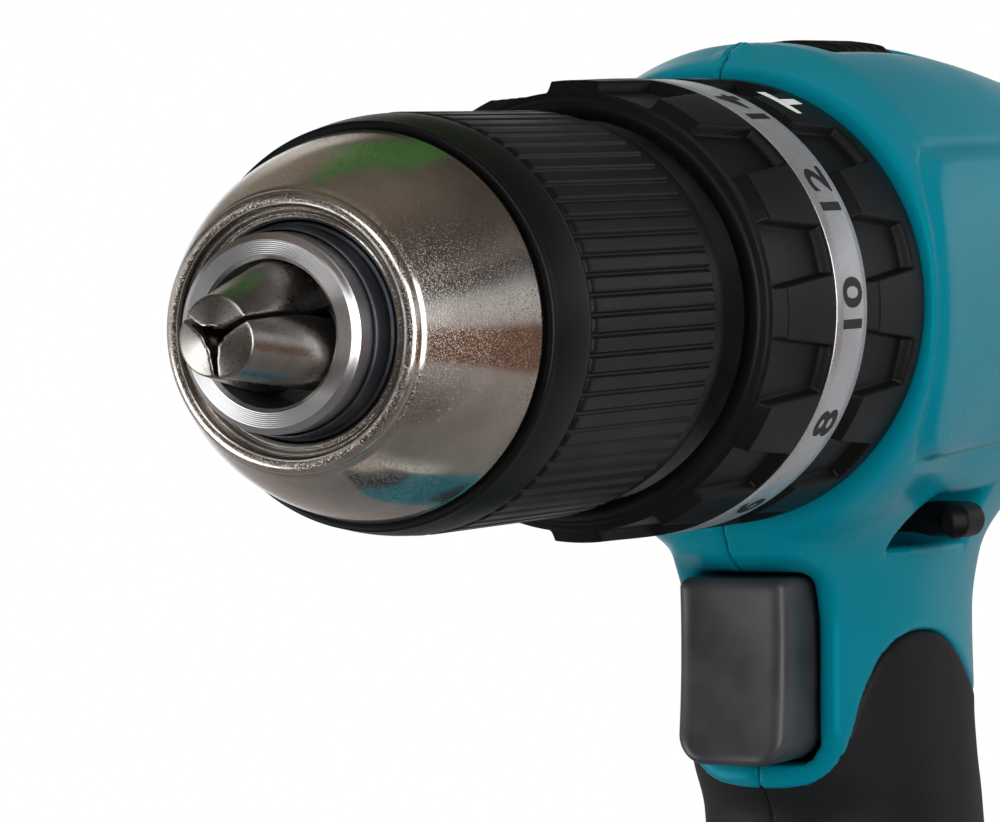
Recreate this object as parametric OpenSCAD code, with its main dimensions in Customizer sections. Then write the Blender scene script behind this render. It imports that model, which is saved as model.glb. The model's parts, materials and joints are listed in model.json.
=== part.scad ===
// Cordless combi drill with a keyless chuck, two-speed gearbox and sliding battery.
// X points forward along the spindle, Y to the tool's left and Z up.
// The origin is the middle of the battery's flat base.

/* [Overall layout] */
// Height of the spindle axis above the battery's base
axis_h = 212; // [206:1:218]
// Front face of the housing's collar, where the mode ring starts
collar_x = 33; // [31:0.5:36]
// Gap between neighbouring rings and shells
ring_gap = 0.3; // [0.2:0.05:0.5]

/* [Chuck] */
// Diameter of the ribbed grip sleeve
sleeve_d = 44; // [43:0.5:46]
// Length of the ribbed grip sleeve
sleeve_l = 34.6; // [32:0.2:37]
// Number of grip ribs round the sleeve
rib_count = 66; // [48:2:72]
// Length of the smooth ring in front of the ribs
smooth_l = 7; // [5:0.5:9]
// Length of the metal nose cone
nose_l = 17; // [15:0.5:19]
// Diameter of the metal nose at its rear edge
nose_d = 40.4; // [39:0.2:41.6]
// Diameter of the rolled rim at the front of the nose
rim_d = 28.6; // [27:0.2:30]
// Length of the steel body's snout in front of the rolled rim
snout_l = 4.4; // [3:0.2:6]
// Diameter of the steel body's snout
snout_d = 20.2; // [19.6:0.2:21]
// Diameter of the mouth in the snout
mouth_d = 14.9; // [14:0.1:15.4]
// Gap between the chuck and the torque ring
chuck_gap = 4.9; // [4:0.1:6]

/* [Jaws] */
// Diameter of one jaw
jaw_d = 7.4; // [7:0.1:7.6]
// Angle between a jaw and the spindle axis
jaw_angle = 15; // [14:0.5:16]
// Length of one jaw along the spindle
jaw_l = 32; // [30:0.5:34]
// How far the jaws stand out of the snout
jaw_out = 11.6; // [10:0.2:12.4]
// Travel of each jaw along its passage
jaw_travel = 24; // [20:0.5:25]
// Half of the gap between the jaws at rest
jaw_split = 0.35; // [0.25:0.05:0.5]

/* [Rings] */
// Diameter of the torque and mode rings over their pads
ring_d = 51; // [50:0.5:52]
// Length of the mode ring
mode_l = 16.7; // [15:0.5:19]
// Length of the torque ring in front of the number band
torque_l = 15.8; // [14:0.2:18]
// Width of the number band
band_l = 8.6; // [7:0.2:10]
// Number of raised pads on each ring
pad_count = 12; // [8:1:14]
// Depth of the pockets between the pads
pocket_depth = 1.2; // [0.8:0.1:1.6]

/* [Gearbox] */
// Gear module
gear_m = 0.72; // [0.7:0.01:0.74]
// Teeth on each sun gear
sun_teeth = 15; // [15:3:15]
// Teeth on each planet gear
planet_teeth = 15; // [15:3:15]
// Width of the gears in each stage
gear_w = 6; // [5:0.5:6.5]
// Thickness of each carrier disc
carrier_t = 2.4; // [2:0.2:3]
// Backlash along the pitch circle
backlash = 0.16; // [0.1:0.02:0.24]
// Outer diameter of the gear case's nose under the rings
case_d = 42; // [41:0.2:42.4]

/* [Spindle] */
// Diameter of the spindle
spindle_d = 12; // [11:0.5:12.5]
// Outer diameter of the spindle's front bearing
bearing_d = 26; // [24:0.5:27]
// Width of each spindle bearing
bearing_w = 7; // [6:0.5:8]
// Radial running clearance of a shaft in its bearing
run_fit = 0.04; // [0.02:0.01:0.08]

/* [Motor] */
// Diameter of the motor can
motor_d = 37.4; // [36:0.2:38]
// Length of the motor can
motor_l = 58; // [54:1:60]
// Diameter of the motor shaft
shaft_d = 3.2; // [3:0.1:4]
// Diameter of the armature core
armature_d = 24; // [22:0.5:25]

/* [Housing] */
// Half width of the barrel at the collar
barrel_r = 26.4; // [26:0.1:27]
// Height of the barrel's crown above the axis
crown_h = 29.9; // [29.5:0.1:31]
// Length of the barrel behind the collar, up to the rear cover
barrel_l = 94; // [92:0.5:97]
// Length of the rear cover
cover_l = 23; // [20:0.5:26]
// Wall of the barrel
wall = 2.5; // [2:0.1:2.8]
// Thickness of the rubber grip
grip_t = 1.6; // [1.2:0.1:2]
// Height of the foot above the battery's shoulder
foot_h = 26; // [24:0.5:28]

/* [Trigger] */
// Width of the trigger
trigger_w = 13.6; // [13:0.2:14.4]
// Height of the trigger
trigger_h = 22; // [20:0.5:23]
// Travel of the trigger
trigger_travel = 6; // [5:0.5:6.5]
// How far the trigger's front stands behind the collar's front face
trigger_back = 1.6; // [1:0.2:4]

/* [Controls] */
// Width of the speed slider
speed_w = 15; // [13:0.5:16]
// Length of the speed slider
speed_l = 16; // [14:0.5:17]
// Travel of the speed slider
speed_travel = 6; // [5:0.5:7]
// Reach of the direction lever's knobs to each side
lever_reach = 21.5; // [20.5:0.5:23]

/* [Battery] */
// Length of the battery
battery_l = 114; // [110:1:118]
// Width of the battery
battery_w = 74; // [72:1:76]
// Height of the battery's body up to its shoulder
battery_h = 52; // [50:0.5:54]
// Width of the battery's rail head
rail_w = 44; // [42:0.5:46]
// Depth of the undercut beside each rail
undercut = 4; // [3:0.2:5]
// Clearance between rails and foot
rail_gap = 0.35; // [0.25:0.05:0.5]
// Diameter of one cell
cell_d = 18.4; // [18:0.1:18.6]

/* [Hidden] */

$fn = 72;
eps = 0.01;
fit = 0.3;

// Colours
teal = "#0d8495";
black = "#1d1e20";
grey = "#3a3b3e";
steel = "#9a9b9d";
bright = "#c9c7c3";
bronze = "#b08d57";
white = "#d8d8d6";

// Positions along the axis, from the collar forward
mode_x = collar_x + ring_gap;
torque_x = mode_x + mode_l + ring_gap;
band_x1 = torque_x + band_l;
lip_x = band_x1 + torque_l;
sleeve_x = lip_x + chuck_gap;
smooth_x = sleeve_x + sleeve_l;
nose_x = smooth_x + smooth_l + 0.8;
rim_x = nose_x + nose_l;
face_x = rim_x + snout_l;
tip_x = face_x + jaw_out;

// Radii used by several pieces
sleeve_r = sleeve_d / 2;
sleeve_in = sleeve_r - 1.6;
ring_r = ring_d / 2;
ring_in = case_d / 2 + fit;
jaw_slope = tan(jaw_angle);
// Distance of a jaw's own axis from the spindle axis at position x
function jaw_axis_r(x) = 0.15 + (tip_x - x) * jaw_slope;
// Largest distance that a jaw reaches at position x
function jaw_outer_r(x) = jaw_axis_r(x) + jaw_d / 2 / cos(jaw_angle);

// Gears: ring teeth, centre distance and radii
ring_teeth = sun_teeth + 2 * planet_teeth;
gear_c = gear_m * (sun_teeth + planet_teeth) / 2;
ring_gear_r = gear_m * ring_teeth / 2 + 2.6;
stage_gap = 1.2;
stage_l = gear_w + carrier_t + 2 * stage_gap;
stage_1_x = collar_x - 26;
stage_2_x = stage_1_x + stage_l;
stage_3_x = stage_2_x + stage_l;
case_in = ring_gear_r + fit;

// Gear case: rear plate, shell inside the barrel, nose under the rings
case_rear_x = stage_1_x - 4;
case_front_x = lip_x - 4;
carrier_r = gear_m * (ring_teeth - 2) / 2 - 0.3;
web_x = stage_3_x + gear_w + stage_gap;
web_t = 4.4;
case_nose_r = 15.6;
nose_bore_r = bearing_d / 2 + fit;

// Barrel and motor
barrel_in = case_d / 2 + fit;
cover_x = collar_x - barrel_l;
rear_x = cover_x - cover_l;
motor_x = case_rear_x - fit;
motor_rear_x = motor_x - motor_l;
motor_bay_r = motor_d / 2 + 1.8;
rear_bay_r = motor_d / 2 - 1.2;

// Trigger and switch, heights measured down from the axis
trigger_x = collar_x - trigger_back;
trigger_top = 32;
trigger_gap = 0.5;
switch_x1 = trigger_x - 19;
switch_l = 22;
switch_top = 33.5;
switch_h = 26;
switch_w = 20;

// Direction lever
lever_h = 26.2;
lever_pin_x = collar_x - 12;

// Speed slider
speed_x0 = collar_x - 36.5;
slot_x0 = speed_x0 - 1;
slot_l = speed_l + speed_travel + 2;

// Foot and battery
shoulder_z = battery_h + 0.4;
foot_top = shoulder_z + foot_h;
rail_neck = rail_w / 2 - undercut;
rail_h0 = 4;
rail_h1 = 4.4;
rail_top = battery_h + rail_h0 + rail_h1;

// Builds along X: the shape's z becomes x on the spindle axis
module on_axis(x = 0) translate([x, 0, axis_h]) rotate([0, 90, 0]) children();

// Turns a shape about the spindle axis, 0 at the top and growing towards the tool's right
module around(a) translate([0, 0, axis_h]) rotate([a, 0, 0]) children();

// Tube or disc on the spindle axis from x0 to x1
module tube(x0, x1, ro, ri = 0) on_axis(x0) difference() {
    cylinder(h = x1 - x0, r = ro);
    if (ri > 0) translate([0, 0, -1]) cylinder(h = x1 - x0 + 2, r = ri);
}

// Revolved outline on the spindle axis, points as [x, radius]
module turned(points) on_axis() rotate_extrude($fn = 120) polygon([for (p = points) [p[1], p[0]]]);

// Point of a superellipse at angle t with half sizes a and b and power n
function super(t, a, b, n) = [
    a * sign(cos(t)) * pow(abs(cos(t)), 2 / n),
    b * sign(sin(t)) * pow(abs(sin(t)), 2 / n)];

// Solid through a list of rings with equally many points
module loft(rings) {
    n = len(rings[0]);
    m = len(rings);
    faces = concat(
        [[for (i = [0:n - 1]) i]],
        [for (k = [0:m - 2], i = [0:n - 1]) each [
            [(k + 1) * n + (i + 1) % n, k * n + (i + 1) % n, k * n + i],
            [(k + 1) * n + i, (k + 1) * n + (i + 1) % n, k * n + i]]],
        [[for (i = [n - 1:-1:0]) (m - 1) * n + i]]);
    polyhedron(points = [for (r = rings) each r], faces = faces);
}

// Outline of a rectangle with rounded corners, centred
function round_box(l, w, r, steps = 4) = [for (q = [0:3], i = [0:steps])
    let (a = 90 * q + 90 * i / steps, sx = q == 0 || q == 3 ? 1 : -1, sy = q < 2 ? 1 : -1)
    [sx * (l / 2 - r) + r * cos(a), sy * (w / 2 - r) + r * sin(a)]];

// ---------- Chuck ----------

// Drilled path of jaw k, widened by a clearance, from its tip back to the rear of its travel
module jaw_rod(k, grow, x0, x1) around(120 * k) translate([x1, 0, jaw_axis_r(x1)])
    rotate([0, -90 + jaw_angle, 0]) cylinder(h = (x1 - x0) / cos(jaw_angle), r = jaw_d / 2 + grow, $fn = 48);

// Space between two planes through the axis that belongs to jaw k
module jaw_sector(k) around(120 * k) rotate([0, 90, 0]) translate([-jaw_split / sin(60), 0, 0])
    linear_extrude(height = tip_x) polygon([[0, 0], [-30, 30 * tan(60)], [-30, -30 * tan(60)]]);

module jaw(k) color(steel) intersection() {
    jaw_rod(k, 0, tip_x - jaw_l, tip_x + 4);
    jaw_sector(k);
    turned([[tip_x - jaw_l, 0], [tip_x, 0], [tip_x, 3.5], [tip_x - 0.6, 4.1], [tip_x - 12, 12],
        [tip_x - jaw_l, 20]]);
}

module jaw_1() jaw(0);
module jaw_2() jaw(1);
module jaw_3() jaw(2);

jaw_fit = 0.08;
nut_x = nose_x + 0.5;
nut_l = 6;
nut_x1 = nut_x + nut_l;
flange_r = sleeve_in - 0.5;
hub_r = 14;
hub_l = 14;
thread_l = 17;
screw_head_x = sleeve_x + 21;
screw_r = 2.6;
module chuck_body() color(bright) difference() {
    turned([
        [sleeve_x - 1, 0], [face_x, 0], [face_x, snout_d / 2 - 0.7], [face_x - 0.7, snout_d / 2],
        [nut_x1 + 4, snout_d / 2], [nut_x1 + 1.6, jaw_outer_r(nut_x1) + 0.6],
        [nut_x1 + fit, jaw_outer_r(nut_x1) + 0.6], [nut_x1 + fit, jaw_outer_r(nut_x1) - 0.6],
        [nut_x - fit, jaw_outer_r(nut_x1) - 0.6], [nut_x - fit, nose_in0 - 0.5], [smooth_x - 0.5, nose_in0 - 0.5],
        [smooth_x - 0.5, flange_r], [sleeve_x + hub_l, flange_r],
        [sleeve_x + hub_l, hub_r], [sleeve_x - 1, hub_r]]);
    tube(face_x - 9, face_x + 1, mouth_d / 2);
    turned([[face_x - 0.8, 0], [face_x + 1, 0], [face_x + 1, mouth_d / 2 + 1.4], [face_x - 0.8, mouth_d / 2 - 0.4]]);
    for (k = [0:2]) jaw_rod(k, jaw_fit, tip_x - jaw_l - jaw_travel * cos(jaw_angle) - 1, face_x);
    tube(sleeve_x - 2, sleeve_x + thread_l, spindle_d / 2 + run_fit);
    tube(sleeve_x, face_x, screw_r + 0.3);
    tube(screw_head_x, screw_head_x + 4, 4.8);
}

// Left-hand screw that holds the chuck on its spindle
module chuck_screw() color(steel) difference() {
    union() {
        tube(screw_head_x, screw_head_x + 3, 4.6);
        tube(sleeve_x + 4, screw_head_x, screw_r);
    }
    on_axis(screw_head_x + 1.4) cylinder(h = 2, r = 1.8, $fn = 6);
}

// Split scroll nut that drives the jaws
module jaw_nut() color(bronze) difference() {
    turned([[nut_x, 0], [nut_x1, 0], [nut_x1, nose_in1 - 0.15], [nut_x, nose_in0 - 0.15]]);
    turned([[nut_x - 1, 0], [nut_x1 + 1, 0], [nut_x1 + 1, jaw_outer_r(nut_x1 + 1) + 0.15],
        [nut_x - 1, jaw_outer_r(nut_x - 1) + 0.15]]);
}

// Curve of the nose cone between its rear edge and its rolled rim
rim_r = rim_d / 2;
nose_bulge = 0.9;
nose_in0 = nose_d / 2 - 1;
nose_in1 = nose_d / 2 - 2.2;
function nose_curve() = [for (i = [0:9]) let (s = i / 10)
    [nose_x + s * (nose_l - 1), nose_d / 2 + (rim_r - nose_d / 2) * s + nose_bulge * sin(180 * s)]];
function rim_curve() = [for (t = [0:20:180]) [rim_x - 1 + sin(t), rim_r - 1 + cos(t)]];

module nose_sleeve() color(bright) turned(concat(nose_curve(), rim_curve(), [
    [rim_x - 2.2, rim_r - 2], [rim_x - 2.2, snout_d / 2 + 0.6], [rim_x - 4, snout_d / 2 + 0.6],
    [rim_x - 5, rim_r - 1], [nut_x1 + 1, nose_in1], [nut_x1, nose_in1], [nose_x, nose_in0]]));

module smooth_ring() color(black) difference() {
    turned([[smooth_x + 0.2, 0], [nose_x - 0.5, 0], [nose_x - 0.5, nose_d / 2 + 0.35],
        [nose_x - 0.9, nose_d / 2 + 0.55], [smooth_x + smooth_l / 2, sleeve_r - 0.55], [smooth_x + 0.2, sleeve_r - 0.1]]);
    tube(smooth_x - 1, nose_x + 1, nose_in0);
    turned([[smooth_x - 1, 0], [smooth_x + 3, 0], [smooth_x + 3, nose_in0], [smooth_x - 1, sleeve_in + 0.5]]);
}

// One grip rib in section, as a narrow trapezoid on the sleeve
function rib_outline() = [for (i = [0:rib_count - 1]) let (a = 360 * i / rib_count, p = 360 / rib_count)
    each [for (s = [[-0.34, -0.5], [-0.2, 0], [0.2, 0], [0.34, -0.5]])
        (sleeve_r + s[1]) * [cos(a + s[0] * p), sin(a + s[0] * p)]]];
rib_margin = 3.6;
module grip_sleeve() color(black) difference() {
    union() {
        turned([[sleeve_x, 0], [smooth_x, 0], [smooth_x, sleeve_r - 0.5], [sleeve_x + 0.6, sleeve_r - 0.5],
            [sleeve_x, sleeve_r - 1.1]]);
        on_axis(sleeve_x + rib_margin) linear_extrude(height = sleeve_l - rib_margin - 0.8) polygon(rib_outline());
    }
    tube(sleeve_x - 1, smooth_x + 1, sleeve_in);
}

// Notched steel ring behind the sleeve, fixed to the chuck body
module back_ring() color(steel) difference() {
    tube(sleeve_x - 2.4, sleeve_x + 2.2, sleeve_in - 0.4, 14.05);
    for (k = [0:11]) around(30 * k + 15) translate([sleeve_x - 3, -1.6, sleeve_in - 2]) cube([2.6, 3.2, 4]);
}

// ---------- Torque and mode rings ----------

// Flat-floored pockets between the pads, wide at one end, from x0 to x1
module pockets(x0, x1, flip) {
    wide = PI * ring_d / pad_count * 0.56;
    narrow = wide * 0.74;
    for (k = [0:pad_count - 1]) around(360 / pad_count * (k + 0.5))
        translate([0, 0, ring_r - pocket_depth]) linear_extrude(height = 4)
            polygon(flip ? [[x0, -narrow / 2], [x1, -wide / 2], [x1, wide / 2], [x0, narrow / 2]]
                : [[x0, -wide / 2], [x1, -narrow / 2], [x1, narrow / 2], [x0, wide / 2]]);
}

lip_l = 2.6;
lip_r = ring_r - 2.3;
module torque_ring() color(black) difference() {
    turned([[torque_x, ring_in], [torque_x, ring_r - 0.9], [band_x1, ring_r - 0.9], [band_x1, ring_r],
        [lip_x - lip_l, ring_r - 0.3], [lip_x - lip_l, lip_r + 0.5], [lip_x - 0.6, lip_r], [lip_x, lip_r - 0.8],
        [lip_x, ring_in - 1.6], [lip_x - 3.6, ring_in - 1.2], [lip_x - 3.6, ring_in]]);
    pockets(band_x1 + 1.4, lip_x - lip_l + 1, true);
    for (k = [0:2]) around(120 * k + 60) translate([torque_x + 3, -2.2, 0]) cube([band_l + torque_l - 8.5, 4.4, ring_in + 0.9]);
}

module number_band() color(white) tube(torque_x, band_x1, ring_r, ring_r - 0.9);

module mode_ring() color(black) difference() {
    turned([[mode_x, ring_in], [mode_x, ring_r - 0.5], [mode_x + 0.5, ring_r], [mode_x + mode_l - 1.6, ring_r],
        [mode_x + mode_l - 1.6, ring_r - 0.5], [mode_x + mode_l, ring_r - 0.7], [mode_x + mode_l, ring_in]]);
    pockets(mode_x + 2.4, mode_x + mode_l - 1.4, true);
}

// ---------- Gears ----------

// Point on an involute of base radius rb where it reaches radius r, turned by angle a
function involute_angle(rb, r) = r <= rb ? 0 : tan(acos(rb / r)) * 180 / PI - acos(rb / r);
pressure = 24;

// Outline of an involute gear, with its tooth 0 on the X axis and its flanks thinned by thin
function gear_outline(teeth, thin, tip, root) = let (
        rp = gear_m * teeth / 2,
        rb = rp * cos(pressure),
        half = 90 / teeth - thin / rp * 180 / PI / 2 + involute_angle(rb, rp),
        ra = rp + tip,
        rf = rp - root,
        steps = [for (i = [0:3]) max(rb, rf) + (ra - max(rb, rf)) * i / 3])
    [for (k = [0:teeth - 1]) let (c = 360 * k / teeth) each concat(
        [rf * [cos(c - half), sin(c - half)]],
        [for (r = steps) let (a = c - half + involute_angle(rb, r)) r * [cos(a), sin(a)]],
        [for (i = [3:-1:0]) let (r = steps[i], a = c + half - involute_angle(rb, r)) r * [cos(a), sin(a)]],
        [rf * [cos(c + half), sin(c + half)]])];

// Spur gear on the spindle axis from x0 to x1, turned by angle a
module spur(x0, x1, teeth, a = 0) on_axis(x0) rotate([0, 0, a])
    linear_extrude(height = x1 - x0) polygon(gear_outline(teeth, backlash, 0.8 * gear_m, 1.1 * gear_m));

// Ring gear: a tube whose bore is the space that gears of a little more size would need
module ring_gear(x0, x1) color(steel) on_axis(x0) difference() {
    cylinder(h = x1 - x0, r = ring_gear_r);
    translate([0, 0, -1]) linear_extrude(height = x1 - x0 + 2)
        polygon(gear_outline(ring_teeth, -backlash, 1.1 * gear_m, 0.8 * gear_m));
}

pin_r = 1.5;
pin_fit = 0.05;
// Planet k of a stage whose gears start at x0: a gap faces the sun and a tooth faces outward
module planet(k, x0) color(steel) on_axis(x0) rotate([0, 0, 120 * k]) translate([gear_c, 0, 0]) difference() {
    linear_extrude(height = gear_w)
        polygon(gear_outline(planet_teeth, backlash, 0.8 * gear_m, 1.1 * gear_m));
    translate([0, 0, -1]) cylinder(h = gear_w + 2, r = pin_r + pin_fit);
}

module planet_1a() planet(0, stage_1_x);
module planet_1b() planet(1, stage_1_x);
module planet_1c() planet(2, stage_1_x);
module planets_2() for (k = [0:2]) planet(k, stage_2_x);
module planet_3a() planet(0, stage_3_x);
module planet_3b() planet(1, stage_3_x);
module planet_3c() planet(2, stage_3_x);

ring_2_x = stage_1_x + gear_w + 0.4;
groove_t = 1.4;
module ring_gear_1() ring_gear(stage_1_x - 0.2, stage_1_x + gear_w);
module ring_gear_2() difference() {
    ring_gear(ring_2_x, ring_2_x + gear_w);
    color(steel) tube(ring_2_x + 2.2, ring_2_x + 2.2 + groove_t, ring_gear_r + 1, ring_gear_r - 1);
}
module ring_gear_3() ring_gear(stage_3_x - 0.2, stage_3_x + gear_w + 0.4);

// Carrier disc with its three pins behind it
module carrier_disc(stage_x, r) {
    disc_x = stage_x + gear_w + stage_gap;
    tube(disc_x, disc_x + carrier_t, r);
    for (k = [0:2]) on_axis(stage_x - 0.4) rotate([0, 0, 120 * k]) translate([gear_c, 0, 0])
        cylinder(h = gear_w + stage_gap + 0.5, r = pin_r);
}

// First carrier: its toothed rim locks into the sliding ring gear, and it drives the second sun
module carrier_1() color(grey) {
    disc_x = stage_1_x + gear_w + stage_gap;
    carrier_disc(stage_1_x, carrier_r - 1);
    on_axis(disc_x) linear_extrude(height = carrier_t)
        polygon(gear_outline(ring_teeth, 2.4 * backlash, 0.5 * gear_m, 1.4 * gear_m));
    spur(disc_x + carrier_t - eps, stage_2_x + gear_w + 0.4, sun_teeth);
}

module carrier_2() color(grey) {
    carrier_disc(stage_2_x, carrier_r - 1);
    spur(stage_2_x + gear_w + stage_gap + carrier_t - eps, stage_3_x + gear_w + 0.4, sun_teeth);
}

tail_r = spindle_d / 2 - 1;
module carrier_3() color(grey) difference() {
    carrier_disc(stage_3_x, carrier_r - 1);
    tube(web_x - 1, web_x + carrier_t + 1, tail_r + run_fit);
}

// ---------- Spindle, bearings, hammer ratchets ----------

rear_bearing_x = web_x + 5.6;
front_bearing_x = case_front_x - 2 - bearing_w;
ratchet_t = 3;
ratchet_tooth = 1;
fixed_ratchet_x = rear_bearing_x + bearing_w + 1.4;
turning_ratchet_x = fixed_ratchet_x + ratchet_t + 2 * ratchet_tooth + 1.2;
module spindle() color(steel) difference() {
    union() {
        tube(web_x, web_x + carrier_t + 1, tail_r);
        tube(web_x + carrier_t + 0.6, sleeve_x + thread_l - 0.5, spindle_d / 2);
    }
    tube(sleeve_x + 3, sleeve_x + thread_l + 1, screw_r + run_fit);
}

// Two plain bearings drawn as race, race and sealed balls in one ring
module bearing(x) difference() {
    tube(x, x + bearing_w, bearing_d / 2, spindle_d / 2 + run_fit);
    for (s = [x - 1, x + bearing_w - 0.5]) tube(s, s + 1.5, bearing_d / 2 - 2, spindle_d / 2 + 2);
}
module spindle_bearings() color(bright) for (x = [rear_bearing_x, front_bearing_x]) bearing(x);

// Ring of ratchet teeth rising from x towards dir, between radii 7.5 and ro
module ratchet_teeth(x, dir, ro) for (k = [0:11]) around(30 * k) translate([x, 0, 7.5])
    linear_extrude(height = ro - 7.5) polygon([[-dir * 0.5, -0.9], [-dir * 0.5, 1.4], [dir * ratchet_tooth, 0.9]]);

module fixed_ratchet() color(steel) {
    tube(fixed_ratchet_x, fixed_ratchet_x + ratchet_t, nose_bore_r - 0.1, spindle_d / 2 + 0.8);
    ratchet_teeth(fixed_ratchet_x + ratchet_t, 1, 10.5);
}
module turning_ratchet() color(steel) {
    tube(turning_ratchet_x, turning_ratchet_x + ratchet_t, 11, spindle_d / 2 + run_fit);
    ratchet_teeth(turning_ratchet_x, -1, 10.5);
}

// ---------- Gear case and clutch ----------

ball_r = 2.2;
ball_count = 6;
ball_pcd_r = 17.6;
// The flange stands just in front of the shift fork's most forward place
flange_x = ring_2_x + speed_travel + 4.6;
flange_t = 3;
flange_out = 24.4;
case_slot_w = 9;
module gear_case() color(grey) difference() {
    union() {
        tube(case_rear_x, web_x + web_t, case_d / 2);
        tube(web_x + web_t - 1, case_front_x, case_nose_r);
        tube(case_front_x - 2, case_front_x, case_d / 2 - 0.1);
        tube(flange_x, flange_x + flange_t, flange_out);
    }
    tube(stage_1_x - 1.4, web_x + 0.2, case_in);
    tube(case_rear_x - 1, stage_1_x, 7.5);
    tube(web_x - 1, web_x + carrier_t + 0.8, carrier_r + 0.3);
    tube(web_x, case_front_x - 2, nose_bore_r);
    tube(case_front_x - 3, case_front_x + 1, spindle_d / 2 + 1);
    for (k = [0:ball_count - 1]) around(360 / ball_count * k) translate([0, 0, ball_pcd_r])
        rotate([0, 90, 0]) translate([0, 0, web_x - 1]) cylinder(h = web_t + 2, r = ball_r + 0.1);
    for (a = [-90, 90]) around(a) translate([ring_2_x + 1, -case_slot_w / 2, case_in - 2])
        cube([speed_travel + groove_t + 2.4, case_slot_w, 6]);
}

module clutch_balls() color(bright) for (k = [0:ball_count - 1]) around(360 / ball_count * k)
    translate([web_x + web_t - ball_r - 0.1, 0, ball_pcd_r]) sphere(r = ball_r, $fn = 32);

nut_rest_x = torque_x + 5;
clutch_nut_t = 4.6;
wire_r = 1.2;
spring_x0 = web_x + web_t;
spring_x1 = nut_rest_x;
coil_count = 5;
// Coil spring between the clutch balls and the nut
module clutch_spring() color(steel) for (k = [0:coil_count - 1])
    on_axis(spring_x0 + wire_r + (spring_x1 - spring_x0 - 2 * wire_r) * k / (coil_count - 1))
        rotate_extrude() translate([ball_pcd_r + 0.2, 0]) circle(r = wire_r, $fn = 16);

module clutch_nut() color(bronze) {
    tube(nut_rest_x, nut_rest_x + clutch_nut_t, case_d / 2 - 0.1, case_nose_r + 0.15);
    for (k = [0:2]) around(120 * k + 60) translate([nut_rest_x, -1.8, case_d / 2 - 1]) cube([clutch_nut_t, 3.6, 1.8]);
}

// ---------- Motor ----------

core_l = 30;
core_x = motor_x - 12 - core_l;
magnet_gap = 0.6;
can_wall = 1.2;
brush_x = motor_rear_x + 3;
commutator_r = 5;
module motor_can() color(steel) difference() {
    union() {
        tube(motor_rear_x, motor_x, motor_d / 2);
        tube(motor_x - 1, motor_x + 2.4, 6.4);
    }
    tube(motor_rear_x - 1, motor_x - 1.6, motor_d / 2 - can_wall);
    tube(motor_x - 3, motor_x + 3, shaft_d / 2 + run_fit);
    for (a = [30:60:330]) around(a) translate([motor_x - 9, -3, motor_d / 2 - 3]) cube([6, 6, 6]);
}

module motor_magnets() color(grey) intersection() {
    tube(core_x - 2, core_x + core_l + 2, motor_d / 2 - can_wall - 0.05, armature_d / 2 + magnet_gap);
    for (a = [0, 180]) around(a) translate([core_x - 3, -12, 0]) cube([core_l + 6, 24, motor_d]);
}

// Laminated core with slots, and the windings' end turns
module armature() color(bronze) difference() {
    union() {
        tube(core_x, core_x + core_l, armature_d / 2);
        tube(core_x - 5, core_x + core_l + 4, armature_d / 2 - 2.2);
    }
    tube(core_x - 6, core_x + core_l + 5, shaft_d / 2 + 0.02);
    for (a = [0:30:330]) around(a) translate([core_x - 1, -0.9, armature_d / 2 - 1.6]) cube([core_l + 2, 1.8, 3]);
}

module armature_shaft() color(bright) {
    tube(motor_rear_x + 0.6, stage_1_x - 0.6, shaft_d / 2);
    spur(stage_1_x - 0.6 - eps, stage_1_x + gear_w, sun_teeth);
}

module commutator() color(bronze) difference() {
    tube(brush_x + 0.6, core_x - 5.4, commutator_r, shaft_d / 2 + 0.02);
    for (a = [0:30:330]) around(a) translate([brush_x, -0.2, commutator_r - 0.5]) cube([8, 0.4, 1]);
}

module motor_fan() color(white) {
    fan_x = core_x + core_l + 4.5;
    tube(fan_x, fan_x + 1.2, motor_d / 2 - 3, shaft_d / 2 + 0.02);
    tube(fan_x, fan_x + 4.4, 3.6, shaft_d / 2 + 0.02);
    for (a = [0:36:324]) around(a) translate([fan_x + 1, -0.5, 3.2]) cube([3.4, 1, motor_d / 2 - 6.6]);
}

module brush_holder() color(black) difference() {
    union() {
        tube(motor_rear_x + 0.2, brush_x, motor_d / 2 - can_wall - 0.05);
        for (a = [-90, 90]) around(a) translate([brush_x - 1, -3, commutator_r + 0.15]) cube([6, 6, 9]);
    }
    tube(motor_rear_x - 1, brush_x + 1, shaft_d / 2 + run_fit);
}

// ---------- Outer form of the housing ----------

sides = 40;
// Ring of the barrel at x with half width w, height up and depth down from the axis
function barrel_ring(x, w, up, down) = [for (i = [0:sides - 1])
    let (p = super(360 * (i + 0.5) / sides, w, 1, 2.15)) [x, p[0], axis_h + (p[1] > 0 ? p[1] * up : p[1] * down)]];

// Barrel between the collar and the end of the rear cover
barrel_rings = [
    barrel_ring(rear_x, barrel_r - 9.5, 15, 16),
    barrel_ring(rear_x + 1.5, barrel_r - 5.5, 18.6, 19.6),
    barrel_ring(rear_x + 5, barrel_r - 3.2, 21, 22),
    barrel_ring(rear_x + 12, barrel_r - 2, 22.4, 23.6),
    barrel_ring(cover_x, barrel_r - 1.4, 24.2, 24.6),
    barrel_ring(cover_x + 12, barrel_r - 1, 25, 25.2),
    barrel_ring(cover_x + 26, barrel_r - 0.6, crown_h - 4, 26),
    barrel_ring(cover_x + 44, barrel_r - 0.4, crown_h - 1.6, 27),
    barrel_ring(collar_x - 38, barrel_r - 0.2, crown_h - 0.5, 27.6),
    barrel_ring(collar_x - 24, barrel_r, crown_h, 28.5),
    barrel_ring(collar_x - 9, barrel_r + 0.2, crown_h - 0.3, 30),
    barrel_ring(collar_x - 4, barrel_r + 0.3, crown_h - 1.6, 29),
    barrel_ring(collar_x - 1, barrel_r + 0.1, barrel_r + 0.8, 27.4),
    barrel_ring(collar_x, barrel_r - 0.3, barrel_r - 0.1, 26.4)];

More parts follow.
